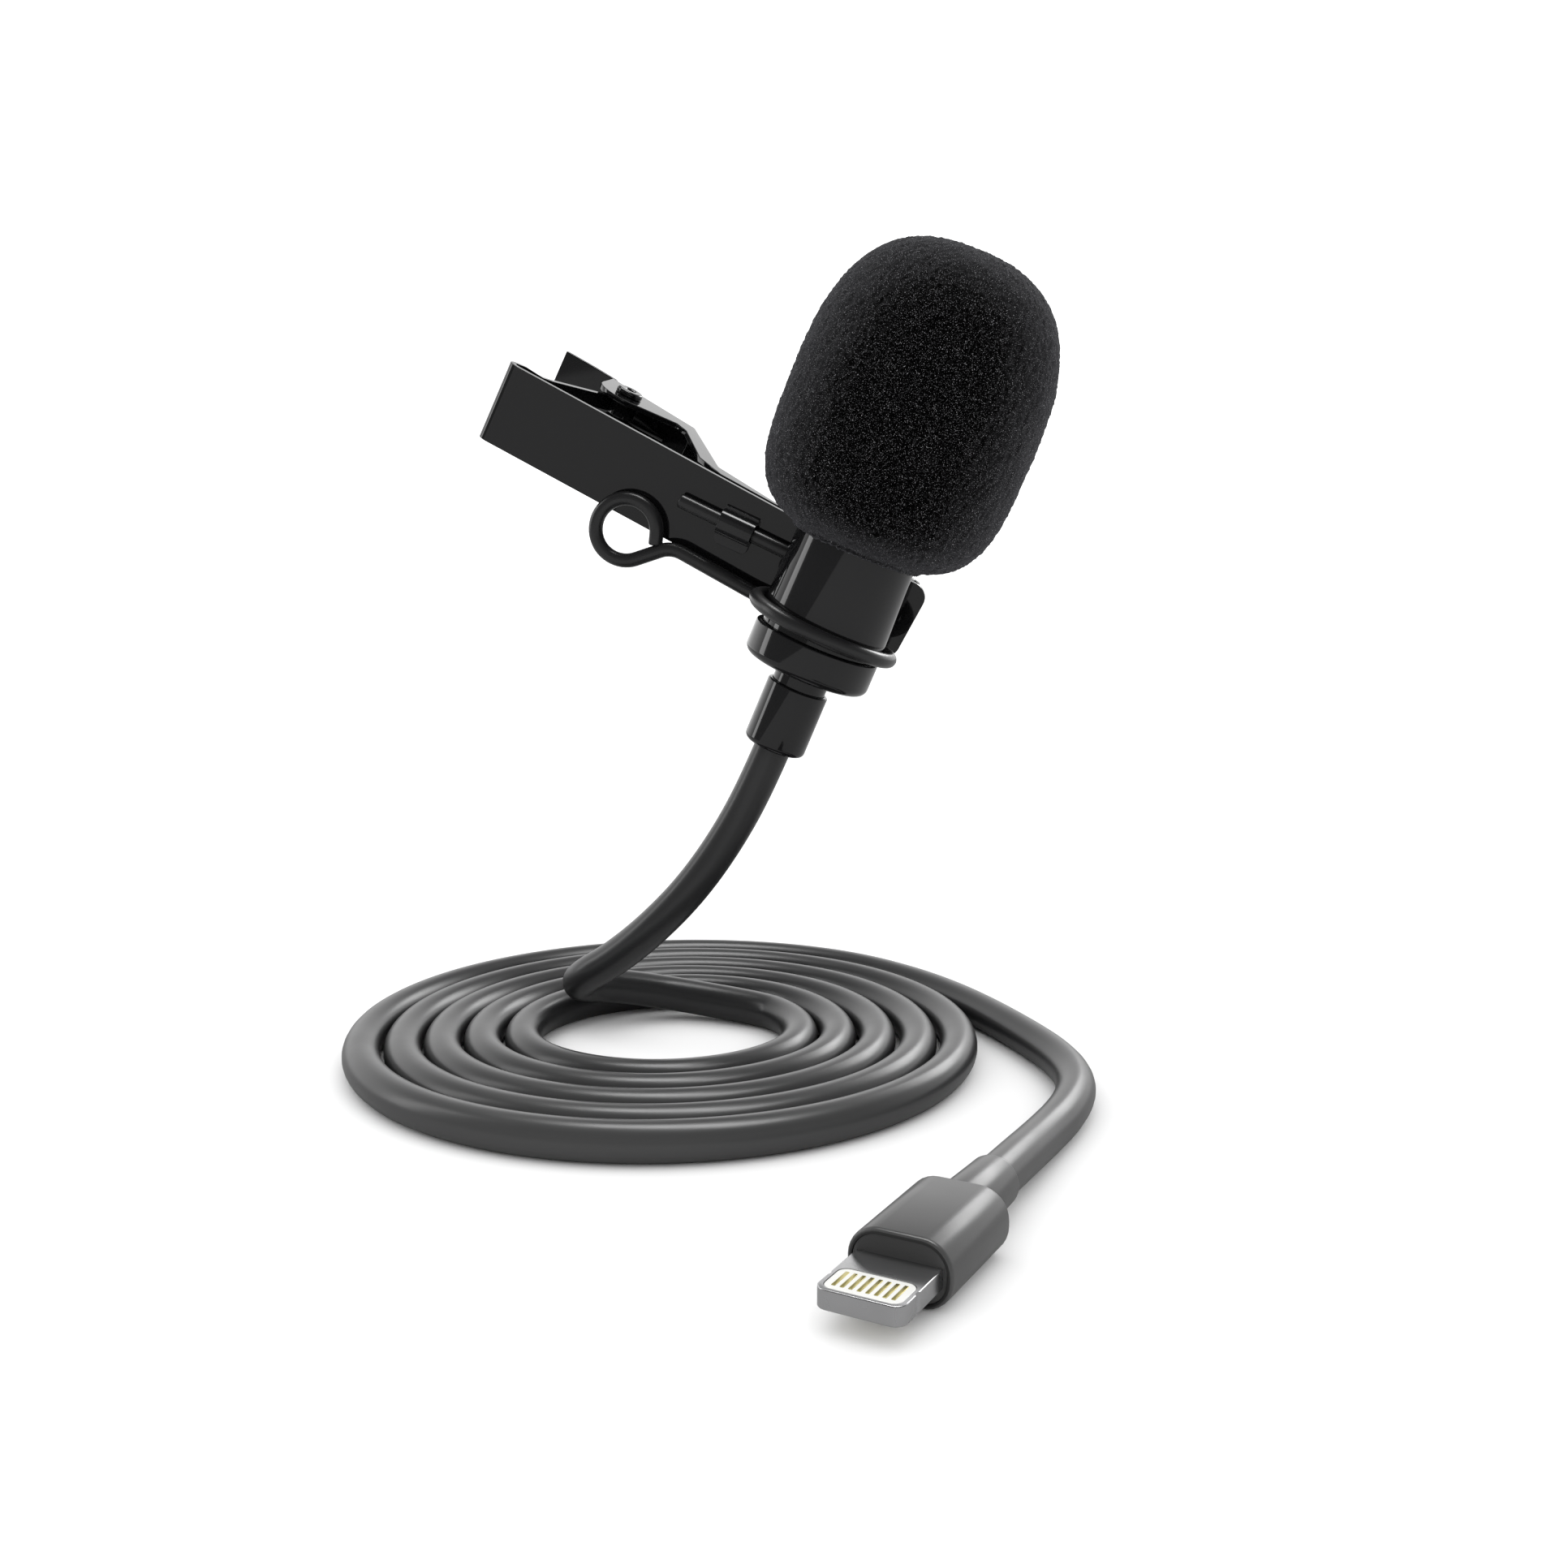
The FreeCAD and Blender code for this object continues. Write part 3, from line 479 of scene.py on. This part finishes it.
route = [MIC @ Vector((0, 0, -10.1)), MIC @ Vector((0, 0, -16.9)),
         Vector((-11.1, -6.4, -25.4)), Vector((-15.0, -6.4, -31.0)), Vector((-19.5, -5.4, -35.8)),
         Vector((-23.8, -3.2, -39.6)), Vector((-27.0, -1.7, -41.7)), Vector((-28.2, 0.9, -43.4)),
         Vector((-26.3, 3.9, -44.3)), Vector((-22.6, 5.4, -45.0)), Vector((-16.9, 6.7, -46.3))]
route += list(coil_points())
route += [lying(9.9, 13.9), lying(15.3, 5.0), lying(19.7, -6.0), lying(22.4, -15.0), lying(22.6, -22.6),
          lying(20.4, -29.4), lying(17.0, -35.9), PLUG @ Vector((0, 20.8, 0)), PLUG @ Vector((0, 10.4, 0))]
cord_data = bpy.data.curves.new("cord", "CURVE")
cord_data.dimensions = "3D"
spline = cord_data.splines.new("NURBS")
spline.points.add(len(route) - 1)
for point, here in zip(spline.points, route):
    point.co = (*(here * MM), 1)
spline.order_u = 3
spline.use_endpoint_u = True
spline.resolution_u = 8
cord_data.bevel_depth = CORD_D / 2 * MM
cord_data.bevel_resolution = 10
cord_data.use_fill_caps = True
cord = bpy.data.objects.new("cord", cord_data)
bpy.context.scene.collection.objects.link(cord)
cord_data.materials.append(JACKET)
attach(cord, "microphone")
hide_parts("cable_drop", "cable_coil", "cable_lead")

# ---- windscreen ------------------------------------------------------------------------------
# Moulded open-cell foam, egg-shaped: a turned form with two superellipse halves, its skin pushed
# in and out by fine noise so that the outline is rough like cut foam.
FOAM_R, FOAM_LOW, FOAM_MID, FOAM_HIGH = 12.45, 8.0, 21.2, 38.4


def foam_outline(rows=150):
    line = [(6.24, FOAM_LOW + 3.0), (6.24, FOAM_LOW + 1.5), (6.3, FOAM_LOW + 0.5), (6.6, FOAM_LOW + 0.1)]
    for i in range(rows + 1):
        angle = math.pi * (i / rows - 0.5)
        power = 2.7 if angle > 0 else 3.4
        half = FOAM_HIGH - FOAM_MID if angle > 0 else FOAM_MID - FOAM_LOW
        r = FOAM_R * max(math.cos(angle), 0) ** (2 / power)
        z = FOAM_MID + math.copysign(half * abs(math.sin(angle)) ** (2 / power), angle)
        if r > 6.9 or angle > 0:
            line.append((r, z))
    return line


def even_steps(line, step):
    """The same line with points a fixed distance apart."""
    line = [Vector(p).to_3d() for p in line]
    spaced = [line[0]]
    for p in line[1:]:
        while (p - spaced[-1]).length > step:
            spaced.append(spaced[-1] + (p - spaced[-1]).normalized() * step)
    spaced.append(line[-1])
    return spaced


bm = lathe(even_steps(foam_outline(), 0.27), 300)
bm.normal_update()
moves = []
for vert in bm.verts:
    p = vert.co
    coarse = noise.noise(p * 0.3) * 0.08
    fine = noise.noise(p * 2.1 + Vector((7, 3, 1))) * 0.09
    tuft = noise.noise(p * 3.9 + Vector((1, 9, 4))) * 0.12
    moves.append(vert.normal * (coarse + fine + tuft))
for vert, move in zip(bm.verts, moves):
    vert.co += move
foam = mesh_object("windscreen", bm, MIC)
finish_piece(foam, "windscreen", FOAM, ["windscreen_foam"], smooth_angle=180)

# ---- barrel, collar and sleeve -----------------------------------------------------------------
# Turned and stove-enamelled metal, and a moulded sleeve: lathe profiles with rounded corners.
barrel_line = rounded([(5.35, 24), (6.15, 24), (6.15, 10), (6.53, -0.88), (5.35, -0.88)],
                      [0, 0.2, 12, 0.22, 0], steps=5)
barrel = mesh_object("barrel", lathe(barrel_line, 160, ring=True), MIC)
finish_piece(barrel, "microphone", BLACK, ["mic_barrel"], smooth_angle=60)

collar_line = rounded([(CORD_BORE_R, -0.95), (5.95, -0.95), (5.95, -1.62), (6.55, -1.62),
                       (6.55, -5.2), (2.8, -5.2), (2.8, -8.3), (CORD_BORE_R, -8.3)],
                      [0, 0.1, 0.05, 0.28, 0.9, 0.5, 0.05, 0], steps=8)
collar = mesh_object("collar", lathe(collar_line, 160, ring=True), MIC)
finish_piece(collar, "microphone", BLACK, ["base_collar"], smooth_angle=60)

sleeve_line = rounded([(CORD_BORE_R, -8.35), (2.84, -8.35), (2.84, -6.75), (3.2, -6.75),
                       (3.2, SLEEVE_END), (CORD_BORE_R, SLEEVE_END)],
                      [0, 0, 0.05, 0.2, 0.6, 0], steps=8)
sleeve = mesh_object("sleeve", lathe(sleeve_line, 128, ring=True), MIC)
finish_piece(sleeve, "microphone", BLACK, ["strain_relief_sleeve"], smooth_angle=60)

# ---- wire ring ---------------------------------------------------------------------------------
# One bent spring wire, black plated: finger eye, lower run, a turn round the barrel, a turn back
# behind it and the straight tail.  A round bar swept along lines and arcs.
EYE_R, EYE_X = 3.25, -23.4
EYE_TIP = 1.25           # straight end of the wire at the eye
LOW_START, LOW_SLOPE = 0.22, 0.109
TAIL_SLOPE, TAIL_END_X = 0.05, -19.3
TIGHT = 0.9999           # keeps two arcs of the turn from sharing a point
eye_from, eye_to, eye_arcs = math.radians(16), math.radians(309), 4
eye_step = (eye_to - eye_from) / eye_arcs
corners = [Vector((EYE_X + EYE_R * math.cos(eye_from) + EYE_TIP * math.sin(eye_from), RING_R,
                   EYE_R * math.sin(eye_from) - EYE_TIP * math.cos(eye_from)))]
bends = [0]
for k in range(eye_arcs):
    t = eye_from + (k + 0.5) * eye_step
    reach = EYE_R / math.cos(eye_step / 2)
    corners.append(Vector((EYE_X + reach * math.cos(t), RING_R, reach * math.sin(t))))
    bends.append(EYE_R)
corners += [Vector((-18.3, RING_R, LOW_START)), Vector((-8.6, RING_R, LOW_START - 9.7 * LOW_SLOPE))]
bends += [3.0, 12.0]
ring_low, ring_high = -1.05, 0.55
ring_rise = (ring_high - ring_low) / 4
for k, (x, y) in enumerate(((1, 1), (1, -1), (-1, -1), (-1, 1))):
    corners.append(Vector((x * RING_R, y * RING_R, ring_low + ring_rise * (k + 0.5))))
    bends.append(RING_R * TIGHT)
turn_x = 4.6
turn_low = ring_high + ring_rise * turn_x / (2 * RING_R)
turn_high = TAIL_Y - TAIL_SLOPE * (turn_x - TAIL_X)
corners += [Vector((turn_x, RING_R, turn_low)), Vector((turn_x, RING_R, turn_high)),
            Vector((TAIL_END_X, RING_R, TAIL_Y - TAIL_SLOPE * (TAIL_END_X - TAIL_X)))]
bends += [(turn_high - turn_low) * 0.48] * 2 + [0]
ring_wire = mesh_object("ring_wire", sweep(rounded(corners, bends, steps=14), WIRE_R, 24), MIC)
finish_piece(ring_wire, "ring", BLACK_WIRE, ["wire_ring"], smooth_angle=60)

# ---- clip bar ----------------------------------------------------------------------------------
# Black plated spring sheet, 0.6 mm: the long bar, its fold, and the lip that runs back and curls
# round the hinge pin.  One strip with soft edges; two fingers at its end make the knuckles.
HALF_W = 4.3
PIN = Vector((-31.0, 13.8, 0))
PIN_R = 0.9
bar_left, bar_right = -41.0, 8.9
tip_r = 1.6              # corners of the bar's free end
fold_r = 0.8
lip_taper = 0.9          # how much narrower each side of the lip gets
lip_end = PIN + Vector((-1.01, 0.64, 0))
bar_corners = [(bar_right, -SHEET / 2), (bar_left - 0.354, -SHEET / 2), lip_end]
bar_path = rounded(bar_corners, [0, fold_r, 0], steps=14)
bar_end = [Vector((bar_right - tip_r * (1 - math.cos(math.radians(a))), -SHEET / 2, 0))
           for a in range(0, 91, 10)]
bar_path = bar_end + bar_path[1:]
bar_widths = []
for p in bar_path:
    past = max(p.x - (bar_right - tip_r), 0) if p.y < 0 else 0
    half = HALF_W - tip_r + math.sqrt(max(tip_r ** 2 - past ** 2, 0)) if past else HALF_W
    half -= lip_taper * min(max((p.y - 1.0) / 4, 0), 1)
    bar_widths.append((-half, half))
# a few more stations on the lip, so that it narrows smoothly
extra = [bar_path[-2].lerp(bar_path[-1], s) for s in (0.08, 0.16, 0.25, 0.35)]
bar_path[-1:-1] = extra
bar_widths[-1:-1] = [(-h, h) for h in (HALF_W - 0.1, HALF_W - 0.4, HALF_W - 0.75, HALF_W - lip_taper)]
bar = mesh_object("clip_bar", strip(bar_path, bar_widths, SHEET), CLIP)
slot_outline = [(-37, 10.2), (-33, 17), (-28, 15), (-31, 8.5)]
slot_cut = mesh_object("slot_cut", prism(slot_outline, -1.75, 1.75), CLIP)
carve(bar, slot_cut)
knuckles = bmesh.new()
for low, high in ((-3.4, -1.75), (1.75, 3.4)):
    ring_line = rounded([(PIN_R, low), (PIN_R + SHEET, low), (PIN_R + SHEET, high), (PIN_R, high)],
                        [0, 0.12, 0.12, 0], steps=4)
    together(knuckles, turned(lathe(ring_line, 64, ring=True), Matrix.Translation(PIN)))
knuckle = mesh_object("clip_knuckles", knuckles, CLIP)
finish_piece(bar, "clip", BLACK_SHEET, ["clip_front_bar"], bevel=0.13, segments=3)
finish_piece(knuckle, "clip", BLACK_SHEET)

# ---- clip lever --------------------------------------------------------------------------------
# The same sheet pressed into a channel: thumb tab, ears on the pin, side walls and a toothed jaw.
# A full-width block of the side outline, hollowed by a smaller one.
tip_x, jaw_y = 7.6, 1.5
ear_r = 3.3
tab_left, tab_top = -40.8, 20.2
tab_rise = 4.3 / 18.2    # slope of the thumb tab's back
tooth_step = 1.2
back_line = [(-22.6, 15.9), (-16.7, 4.0), (-9.9, 2.2), (tip_x, jaw_y)]
edge_line = [(tip_x, 0.35), (-16.2, 0.9), (-19.3, 3.3), (-23.2, 12.0), (-24.6, 13.0)]
ear = [(PIN.x + ear_r * math.cos(math.radians(a)), PIN.y + ear_r * math.sin(math.radians(a)))
       for a in range(-75, -181, -15)]
ear_back = (PIN.x - ear_r, tab_top - (PIN.x - ear_r - tab_left) * tab_rise)
side = [ear_back] + back_line + edge_line + ear
lever = mesh_object("clip_lever_piece", prism(side, -HALF_W, HALF_W), CLIP)
lever_edge = lever.modifiers.new("bends", "BEVEL")
lever_edge.width = 0.7 * MM
lever_edge.segments = 5
lever_edge.limit_method = "WEIGHT"
weights = lever.data.attributes.new("bevel_weight_edge", "FLOAT", "EDGE")
for edge in lever.data.edges:
    ends = [CLIP.inverted() @ (lever.data.vertices[v].co / MM) for v in edge.vertices]
    same_side = abs(ends[0].z - ends[1].z) < 1e-3
    on_back = all(min((Vector((p.x, p.y)) - Vector(q)).length for q in side[:5]) < 1e-2 for p in ends)
    if same_side and on_back:
        weights.data[edge.index].value = 1.0
apply_modifiers(lever)
hollow_line = [(-45, 20.55), (-23.0, 15.33), (-17.1, 3.5), (-9.95, 1.6),
               (20, 0.42), (20, -6), (-45, -6)]
hollow = mesh_object("hollow", prism(hollow_line, -HALF_W + SHEET, HALF_W - SHEET), CLIP)
carve(lever, hollow)
tab = mesh_object("clip_tab", strip([Vector((tab_left, 19.9, 0)), Vector((-37.0, 19.0, 0)),
                                     Vector((-33.8, 18.25, 0))],
                                    [(-4.2, 4.2), (-HALF_W, HALF_W), (-HALF_W, HALF_W)], SHEET), CLIP)
for k in range(6):
    x = tip_x - 0.6 - k * tooth_step
    tooth = mesh_object("tooth", prism([(x - 0.4, 0), (x + 0.4, 0), (x, 0.75)], -6, 6), CLIP)
    carve(lever, tooth)
hole_r = PIN_R + 0.06
pin_hole = turned(lathe([(0, -8), (hole_r, -8), (hole_r, 8), (0, 8)], 48), Matrix.Translation(PIN))
carve(lever, mesh_object("pin_hole", pin_hole, CLIP))
finish_piece(lever, "lever", BLACK_SHEET, ["clip_lever"], bevel=0.1, segments=2)
finish_piece(tab, "lever", BLACK_SHEET, bevel=0.13)

# ---- pin, spring and saddle ----------------------------------------------------------------------
# A hollow rivet with rolled heads, a wound torsion spring, and the strap that holds the wire's tail.
pin_line = rounded([(0, -3.9), (0.45, -3.9), (0.45, -4.95), (1.5, -4.95), (1.5, -4.37), (PIN_R, -4.37),
                    (PIN_R, 4.37), (1.5, 4.37), (1.5, 4.95), (0.45, 4.95), (0.45, 3.9), (0, 3.9)],
                   [0, 0.1, 0.3, 0.25, 0.05, 0.05, 0.05, 0.05, 0.25, 0.3, 0.1, 0], steps=6)
pin = mesh_object("pin", lathe(pin_line, 64), CLIP @ Matrix.Translation(PIN))
finish_piece(pin, "clip", BLACK_SHEET, ["hinge_pin"], smooth_angle=50)

coil_r, coil_half, coil_turns, steps_a_turn = 1.45, 1.2, 5, 24
spring_line = [PIN + Vector((-1.9, -5.5, -1.3)), PIN + Vector((-coil_r, -1.2, -1.25))]
for k in range(coil_turns * steps_a_turn + 1):
    t = math.pi - 2 * math.pi * k / steps_a_turn
    along = 2 * coil_half * k / (coil_turns * steps_a_turn) - coil_half
    spring_line.append(PIN + Vector((coil_r * math.cos(t), coil_r * math.sin(t), along)))
spring_line += [PIN + Vector((-1.2, coil_r, 1.25)), PIN + Vector((5.4, 1.5, 1.3))]
spring = mesh_object("spring", sweep(spring_line, 0.27, 12), CLIP)
finish_piece(spring, "clip", SPRING, ["torsion_spring"], smooth_angle=80)

strap_t, strap_half_w, foot_x, foot_r = 0.5, 1.9, 2.45, 0.6
on_bar = -strap_t / 2
saddle_line = rounded([(foot_x, on_bar), (1.12, on_bar), (1.06, -1.83), (-1.06, -1.83),
                       (-1.06, on_bar), (-1.66, on_bar)],
                      [0, 0.3, 1.0, 1.0, 0.3, 0], steps=8)
saddle_turn = Matrix.Rotation(math.radians(90 - 3.7), 4, "Y")
saddle_place = CLIP @ Matrix.Translation((SADDLE_X, -SHEET, SADDLE_Z)) @ saddle_turn
foot_angles = [math.radians(a) for a in (0, 20, 45, 70, 90)]
foot_end = [Vector((foot_x - foot_r * (1 - math.cos(a)), on_bar, 0)) for a in foot_angles]
foot_widths = [(-w, w) for w in (strap_half_w - foot_r + foot_r * math.sin(a) for a in foot_angles)]
saddle_line = foot_end + saddle_line[1:]
saddle_widths = foot_widths + [(-strap_half_w, strap_half_w)] * (len(saddle_line) - len(foot_end))
saddle = mesh_object("saddle", strip(saddle_line, saddle_widths, strap_t), saddle_place)
finish_piece(saddle, "clip", BLACK_STRAP, ["swivel_saddle"], bevel=0.12)


# ---- plug ----------------------------------------------------------------------------------------
# Satin grey moulded grip with a darker rim and an inset face, its boot, and the steel blade with a
# white carrier and gold contacts.  Rounded sections lofted along the plug.
PLUG_W, PLUG_H, PLUG_L = 8.2, 5.3, 11.2


def section(width, height, radius, y, steps=8):
    """Rounded rectangle across the plug at y."""
    x, z = width / 2, height / 2
    corners = [(x, z), (-x, z), (-x, -z), (x, -z)]
    return [Vector((p.x, y, p.y)) for p in rounded(corners, radius, closed=True, steps=steps)]


def grip_section(inset, y):
    return section(PLUG_W - 2 * inset, PLUG_H - 2 * inset, 2.4 - inset * 0.9, y)


grip_loops = [grip_section(i, y) for i, y in
              ((0.42, 0.12), (0.3, 0.04), (0.2, 0.03), (0.1, 0.08), (0.03, 0.2), (0.0, 0.4),
               (0.0, 5.5), (0.0, 10.8), (0.03, 10.96), (0.1, 11.08), (0.2, 11.16), (0.36, PLUG_L),
               (0.8, PLUG_L))]
grip = mesh_object("grip", loft(grip_loops), PLUG)
finish_piece(grip, "microphone", GRIP, ["plug_overmold"], smooth_angle=60)

rim_loops = [section(PLUG_W - less, PLUG_H - less, corner, y) for less, corner, y in
             ((0.5, 2.2, -0.02), (0.32, 2.28, 0.06), (0.3, 2.28, 0.2), (0.95, 1.95, 0.3),
              (0.92, 1.95, 0.1), (0.8, 2.0, -0.02))]
rim = bmesh.new()
skin(rim, rim_loops, join_ends=True)
rim = mesh_object("grip_rim", rim, PLUG)
finish_piece(rim, "microphone", GRIP_RIM, smooth_angle=60)

face_loops = [section(PLUG_W - 0.95, PLUG_H - 0.95, 1.9, y) for y in (0.25, 0.6)]
face = mesh_object("face_plate", loft(face_loops), PLUG)
finish_piece(face, "microphone", GRIP_FACE, ["plug_face"], bevel=0.05)

boot_line = rounded([(BOOT_BORE_R, PLUG_L - 0.2), (2.4, PLUG_L - 0.2),
                     (2.2, PLUG_L + 7), (BOOT_BORE_R, PLUG_L + 7)],
                    [0, 0.1, 0.24, 0], steps=6)
boot = lathe(boot_line, 96, ring=True)
boot = mesh_object("boot", turned(boot, Matrix.Rotation(math.radians(-90), 4, "X")), PLUG)
finish_piece(boot, "microphone", GRIP, ["plug_boot"], smooth_angle=50)

BLADE_W, BLADE_T, BLADE_L = 6.7, 1.5, 6.65
blade_x, blade_root = BLADE_W / 2, 4.5
blade_corners = [(blade_x, blade_root), (-blade_x, blade_root), (-blade_x, -BLADE_L), (blade_x, -BLADE_L)]
blade_outline = rounded(blade_corners, [0.1, 0.1, 0.95, 0.95], closed=True, steps=10)
blade = mesh_object("blade", prism(blade_outline, -BLADE_T / 2, BLADE_T / 2), PLUG)
round_over = blade.modifiers.new("edges", "BEVEL")
round_over.width = 0.3 * MM
round_over.segments = 5
round_over.limit_method = "ANGLE"
apply_modifiers(blade)
CARRIER_W, CARRIER_L, CARRIER_INSET = 6.0, 3.4, 0.35
CONTACT_PITCH, CONTACT_W, CONTACT_L = 0.64, 0.32, 2.3
mid_y = -BLADE_L + CARRIER_INSET + CARRIER_L / 2


def carrier_outline(grow):
    w, h = CARRIER_W / 2 + grow, CARRIER_L / 2 + grow
    corners = [(w, mid_y + h), (-w, mid_y + h), (-w, mid_y - h), (w, mid_y - h)]
    return rounded(corners, 0.8, closed=True, steps=8)


carve(blade, mesh_object("carrier_cut", prism(carrier_outline(0.0), -2, 2), PLUG))
for side_x in (-1, 1):
    notch = turned(lathe([(0, -2), (0.5, -2), (0.5, 2), (0, 2)], 32),
                   Matrix.Translation((side_x * (blade_x + 0.35), -BLADE_L * 0.62, 0)))
    carve(blade, mesh_object("notch", notch, PLUG))
finish_piece(blade, "microphone", STEEL, ["plug_blade"], smooth_angle=40)

carrier = mesh_object("carrier", prism(carrier_outline(-0.03), -0.73, 0.73), PLUG)
finish_piece(carrier, "microphone", WHITE, ["contact_carrier"], bevel=0.08)
for name, low, high in (("contacts_top", 0.6, 0.76), ("contacts_bottom", -0.76, -0.6)):
    bars = bmesh.new()
    for k in range(8):
        x = (k - 3.5) * CONTACT_PITCH
        w, h = CONTACT_W / 2, CONTACT_L / 2
        corners = [(x + w, mid_y + h), (x - w, mid_y + h), (x - w, mid_y - h), (x + w, mid_y - h)]
        together(bars, prism(rounded(corners, 0.07, closed=True, steps=3), low, high))
    bars = mesh_object(name + "_bars", bars, PLUG)
    finish_piece(bars, "microphone", GOLD, [name], bevel=0.03, segments=2)

with_pieces = [grip, rim, face, boot, blade, carrier, "contacts_top_bars", "contacts_bottom_bars",
               "plug_board", "interface_chip", "plug_cores"]
with_pieces = [bpy.data.objects[p] if isinstance(p, str) else p for p in with_pieces]

# ---- pieces kept from the CAD --------------------------------------------------------------------
# Hidden parts whose solids are already right: only their materials are made here.
kept = {"front_grille": BLACK_SHEET, "grille_felt": FELT, "capsule_can": ALUMINIUM,
        "capsule_gasket": GASKET, "preamp_board": BOARD, "board_parts": CHIP,
        "capsule_wires": COPPER, "cord_cores": CORES, "cord_crimp": BRASS,
        "cable_jacket_end": JACKET, "plug_board": BOARD, "interface_chip": CHIP,
        "plug_cores": CORES}
for name, material in kept.items():
    node = frame["nodes"][name]
    node.data.materials.clear()
    node.data.materials.append(material)

# ---- floor, light ----------------------------------------------------------------------------------
# Matt white, a little darker in the reflections of glossy surfaces.
FLOOR_GREY, FLOOR_REFLECTED_GREY = 0.95, 0.42
floor_look = bpy.data.materials.new("floor")
floor_look.use_nodes = True
floor_tree = floor_look.node_tree
floor_surface = floor_tree.nodes["Principled BSDF"].inputs
floor_surface["Base Color"].default_value = (FLOOR_GREY, FLOOR_GREY, FLOOR_GREY, 1)
floor_surface["Roughness"].default_value = 0.9
floor_surface["Specular IOR Level"].default_value = 0.0
floor_path = floor_tree.nodes.new("ShaderNodeLightPath")
floor_tone = floor_tree.nodes.new("ShaderNodeMix")
floor_tone.data_type = "RGBA"
for end, grey in (("A", FLOOR_GREY), ("B", FLOOR_REFLECTED_GREY)):
    floor_tone.inputs[end].default_value = (grey, grey, grey, 1)
floor_tree.links.new(floor_path.outputs["Is Glossy Ray"], floor_tone.inputs["Factor"])
floor_tree.links.new(floor_tone.outputs["Result"], floor_surface["Base Color"])
FLOOR_HALF = 30          # metres
bm = bmesh.new()
bm.faces.new([bm.verts.new((x * FLOOR_HALF, y * FLOOR_HALF, FLOOR_Z * MM))
              for x, y in ((-1, -1), (1, -1), (1, 1), (-1, 1))])
floor_mesh = bpy.data.meshes.new("floor")
bm.to_mesh(floor_mesh)
bm.free()
floor = bpy.data.objects.new("floor", floor_mesh)
bpy.context.scene.collection.objects.link(floor)
floor_mesh.materials.append(floor_look)

# A white cyclorama to the camera; matt surfaces see it dimmer low down than overhead. Glossy surfaces
# see it as a studio is: bright along the horizon, dim above and behind the camera, with soft boxes
# overhead and at the sides.
world = bpy.data.worlds.new("studio")
bpy.context.scene.world = world
world.use_nodes = True
tree = world.node_tree
background = tree.nodes["Background"]
where = tree.nodes.new("ShaderNodeTexCoord")
split = tree.nodes.new("ShaderNodeSeparateXYZ")
tree.links.new(where.outputs["Generated"], split.inputs[0])


def world_ramp(value, stops):
    """Value to a grey, from (position, grey) stops."""
    ramp = tree.nodes.new("ShaderNodeValToRGB")
    while len(ramp.color_ramp.elements) < len(stops):
        ramp.color_ramp.elements.new(0.5)
    for element, (at, grey) in zip(ramp.color_ramp.elements, stops):
        element.position = at
        element.color = (grey, grey, grey, 1)
    tree.links.new(value, ramp.inputs["Fac"])
    return ramp.outputs["Color"]


def world_mix(kind, factor, a, b):
    mix = tree.nodes.new("ShaderNodeMix")
    mix.data_type = "RGBA"
    mix.blend_type = kind
    mix.inputs["Factor"].default_value = 1.0
    if factor is not None:
        tree.links.new(factor, mix.inputs["Factor"])
    for target, source in zip((mix.inputs["A"], mix.inputs["B"]), (a, b)):
        if isinstance(source, float):
            target.default_value = (source, source, source, 1)
        else:
            tree.links.new(source, target)
    return mix.outputs["Result"]


height = world_ramp(split.outputs["Z"], [(0.0, 0.95), (0.45, 0.9), (0.62, 0.3), (0.9, 0.3), (1.0, 0.4)])
behind = tree.nodes.new("ShaderNodeMapRange")
tree.links.new(split.outputs["Y"], behind.inputs["Value"])
for key, number in zip(("From Min", "From Max", "To Min", "To Max"), (-0.1, 0.55, 0.16, 1.0)):
    behind.inputs[key].default_value = number
glossy = world_mix("MULTIPLY", None, height, behind.outputs["Result"])
path = tree.nodes.new("ShaderNodeLightPath")
sky = world_ramp(split.outputs["Z"], [(0.0, 0.4), (1.0, 1.15)])
seen = world_mix("MIX", path.outputs["Is Camera Ray"], sky, 1.0)
shown = world_mix("MIX", path.outputs["Is Glossy Ray"], seen, glossy)
tree.links.new(shown, background.inputs["Color"])
background.inputs["Strength"].default_value = 1.5


def softbox(name, place, aim, size, radiance):
    """Rectangular light that points at a place; matt surfaces don't see it."""
    lamp = bpy.data.lights.new(name, "AREA")
    lamp.shape = "RECTANGLE"
    lamp.size, lamp.size_y = size
    lamp.energy = radiance * math.pi * size[0] * size[1]
    obj = bpy.data.objects.new(name, lamp)
    obj.location = place
    obj.rotation_euler = (Vector(aim) - Vector(place)).to_track_quat("-Z", "Y").to_euler()
    obj.visible_diffuse = False
    bpy.context.scene.collection.objects.link(obj)


softbox("overhead", (0.03, 0.05, 0.6), (0, 0, 0), (0.5, 0.2), 11.0)
softbox("left", (-0.6, 0.05, 0.25), (0, 0, 0), (0.14, 0.5), 3.0)
softbox("right", (0.40, 0.52, 0.33), (0, 0, 0), (0.36, 0.22), 7.0)
bpy.context.scene.view_settings.view_transform = "Standard"
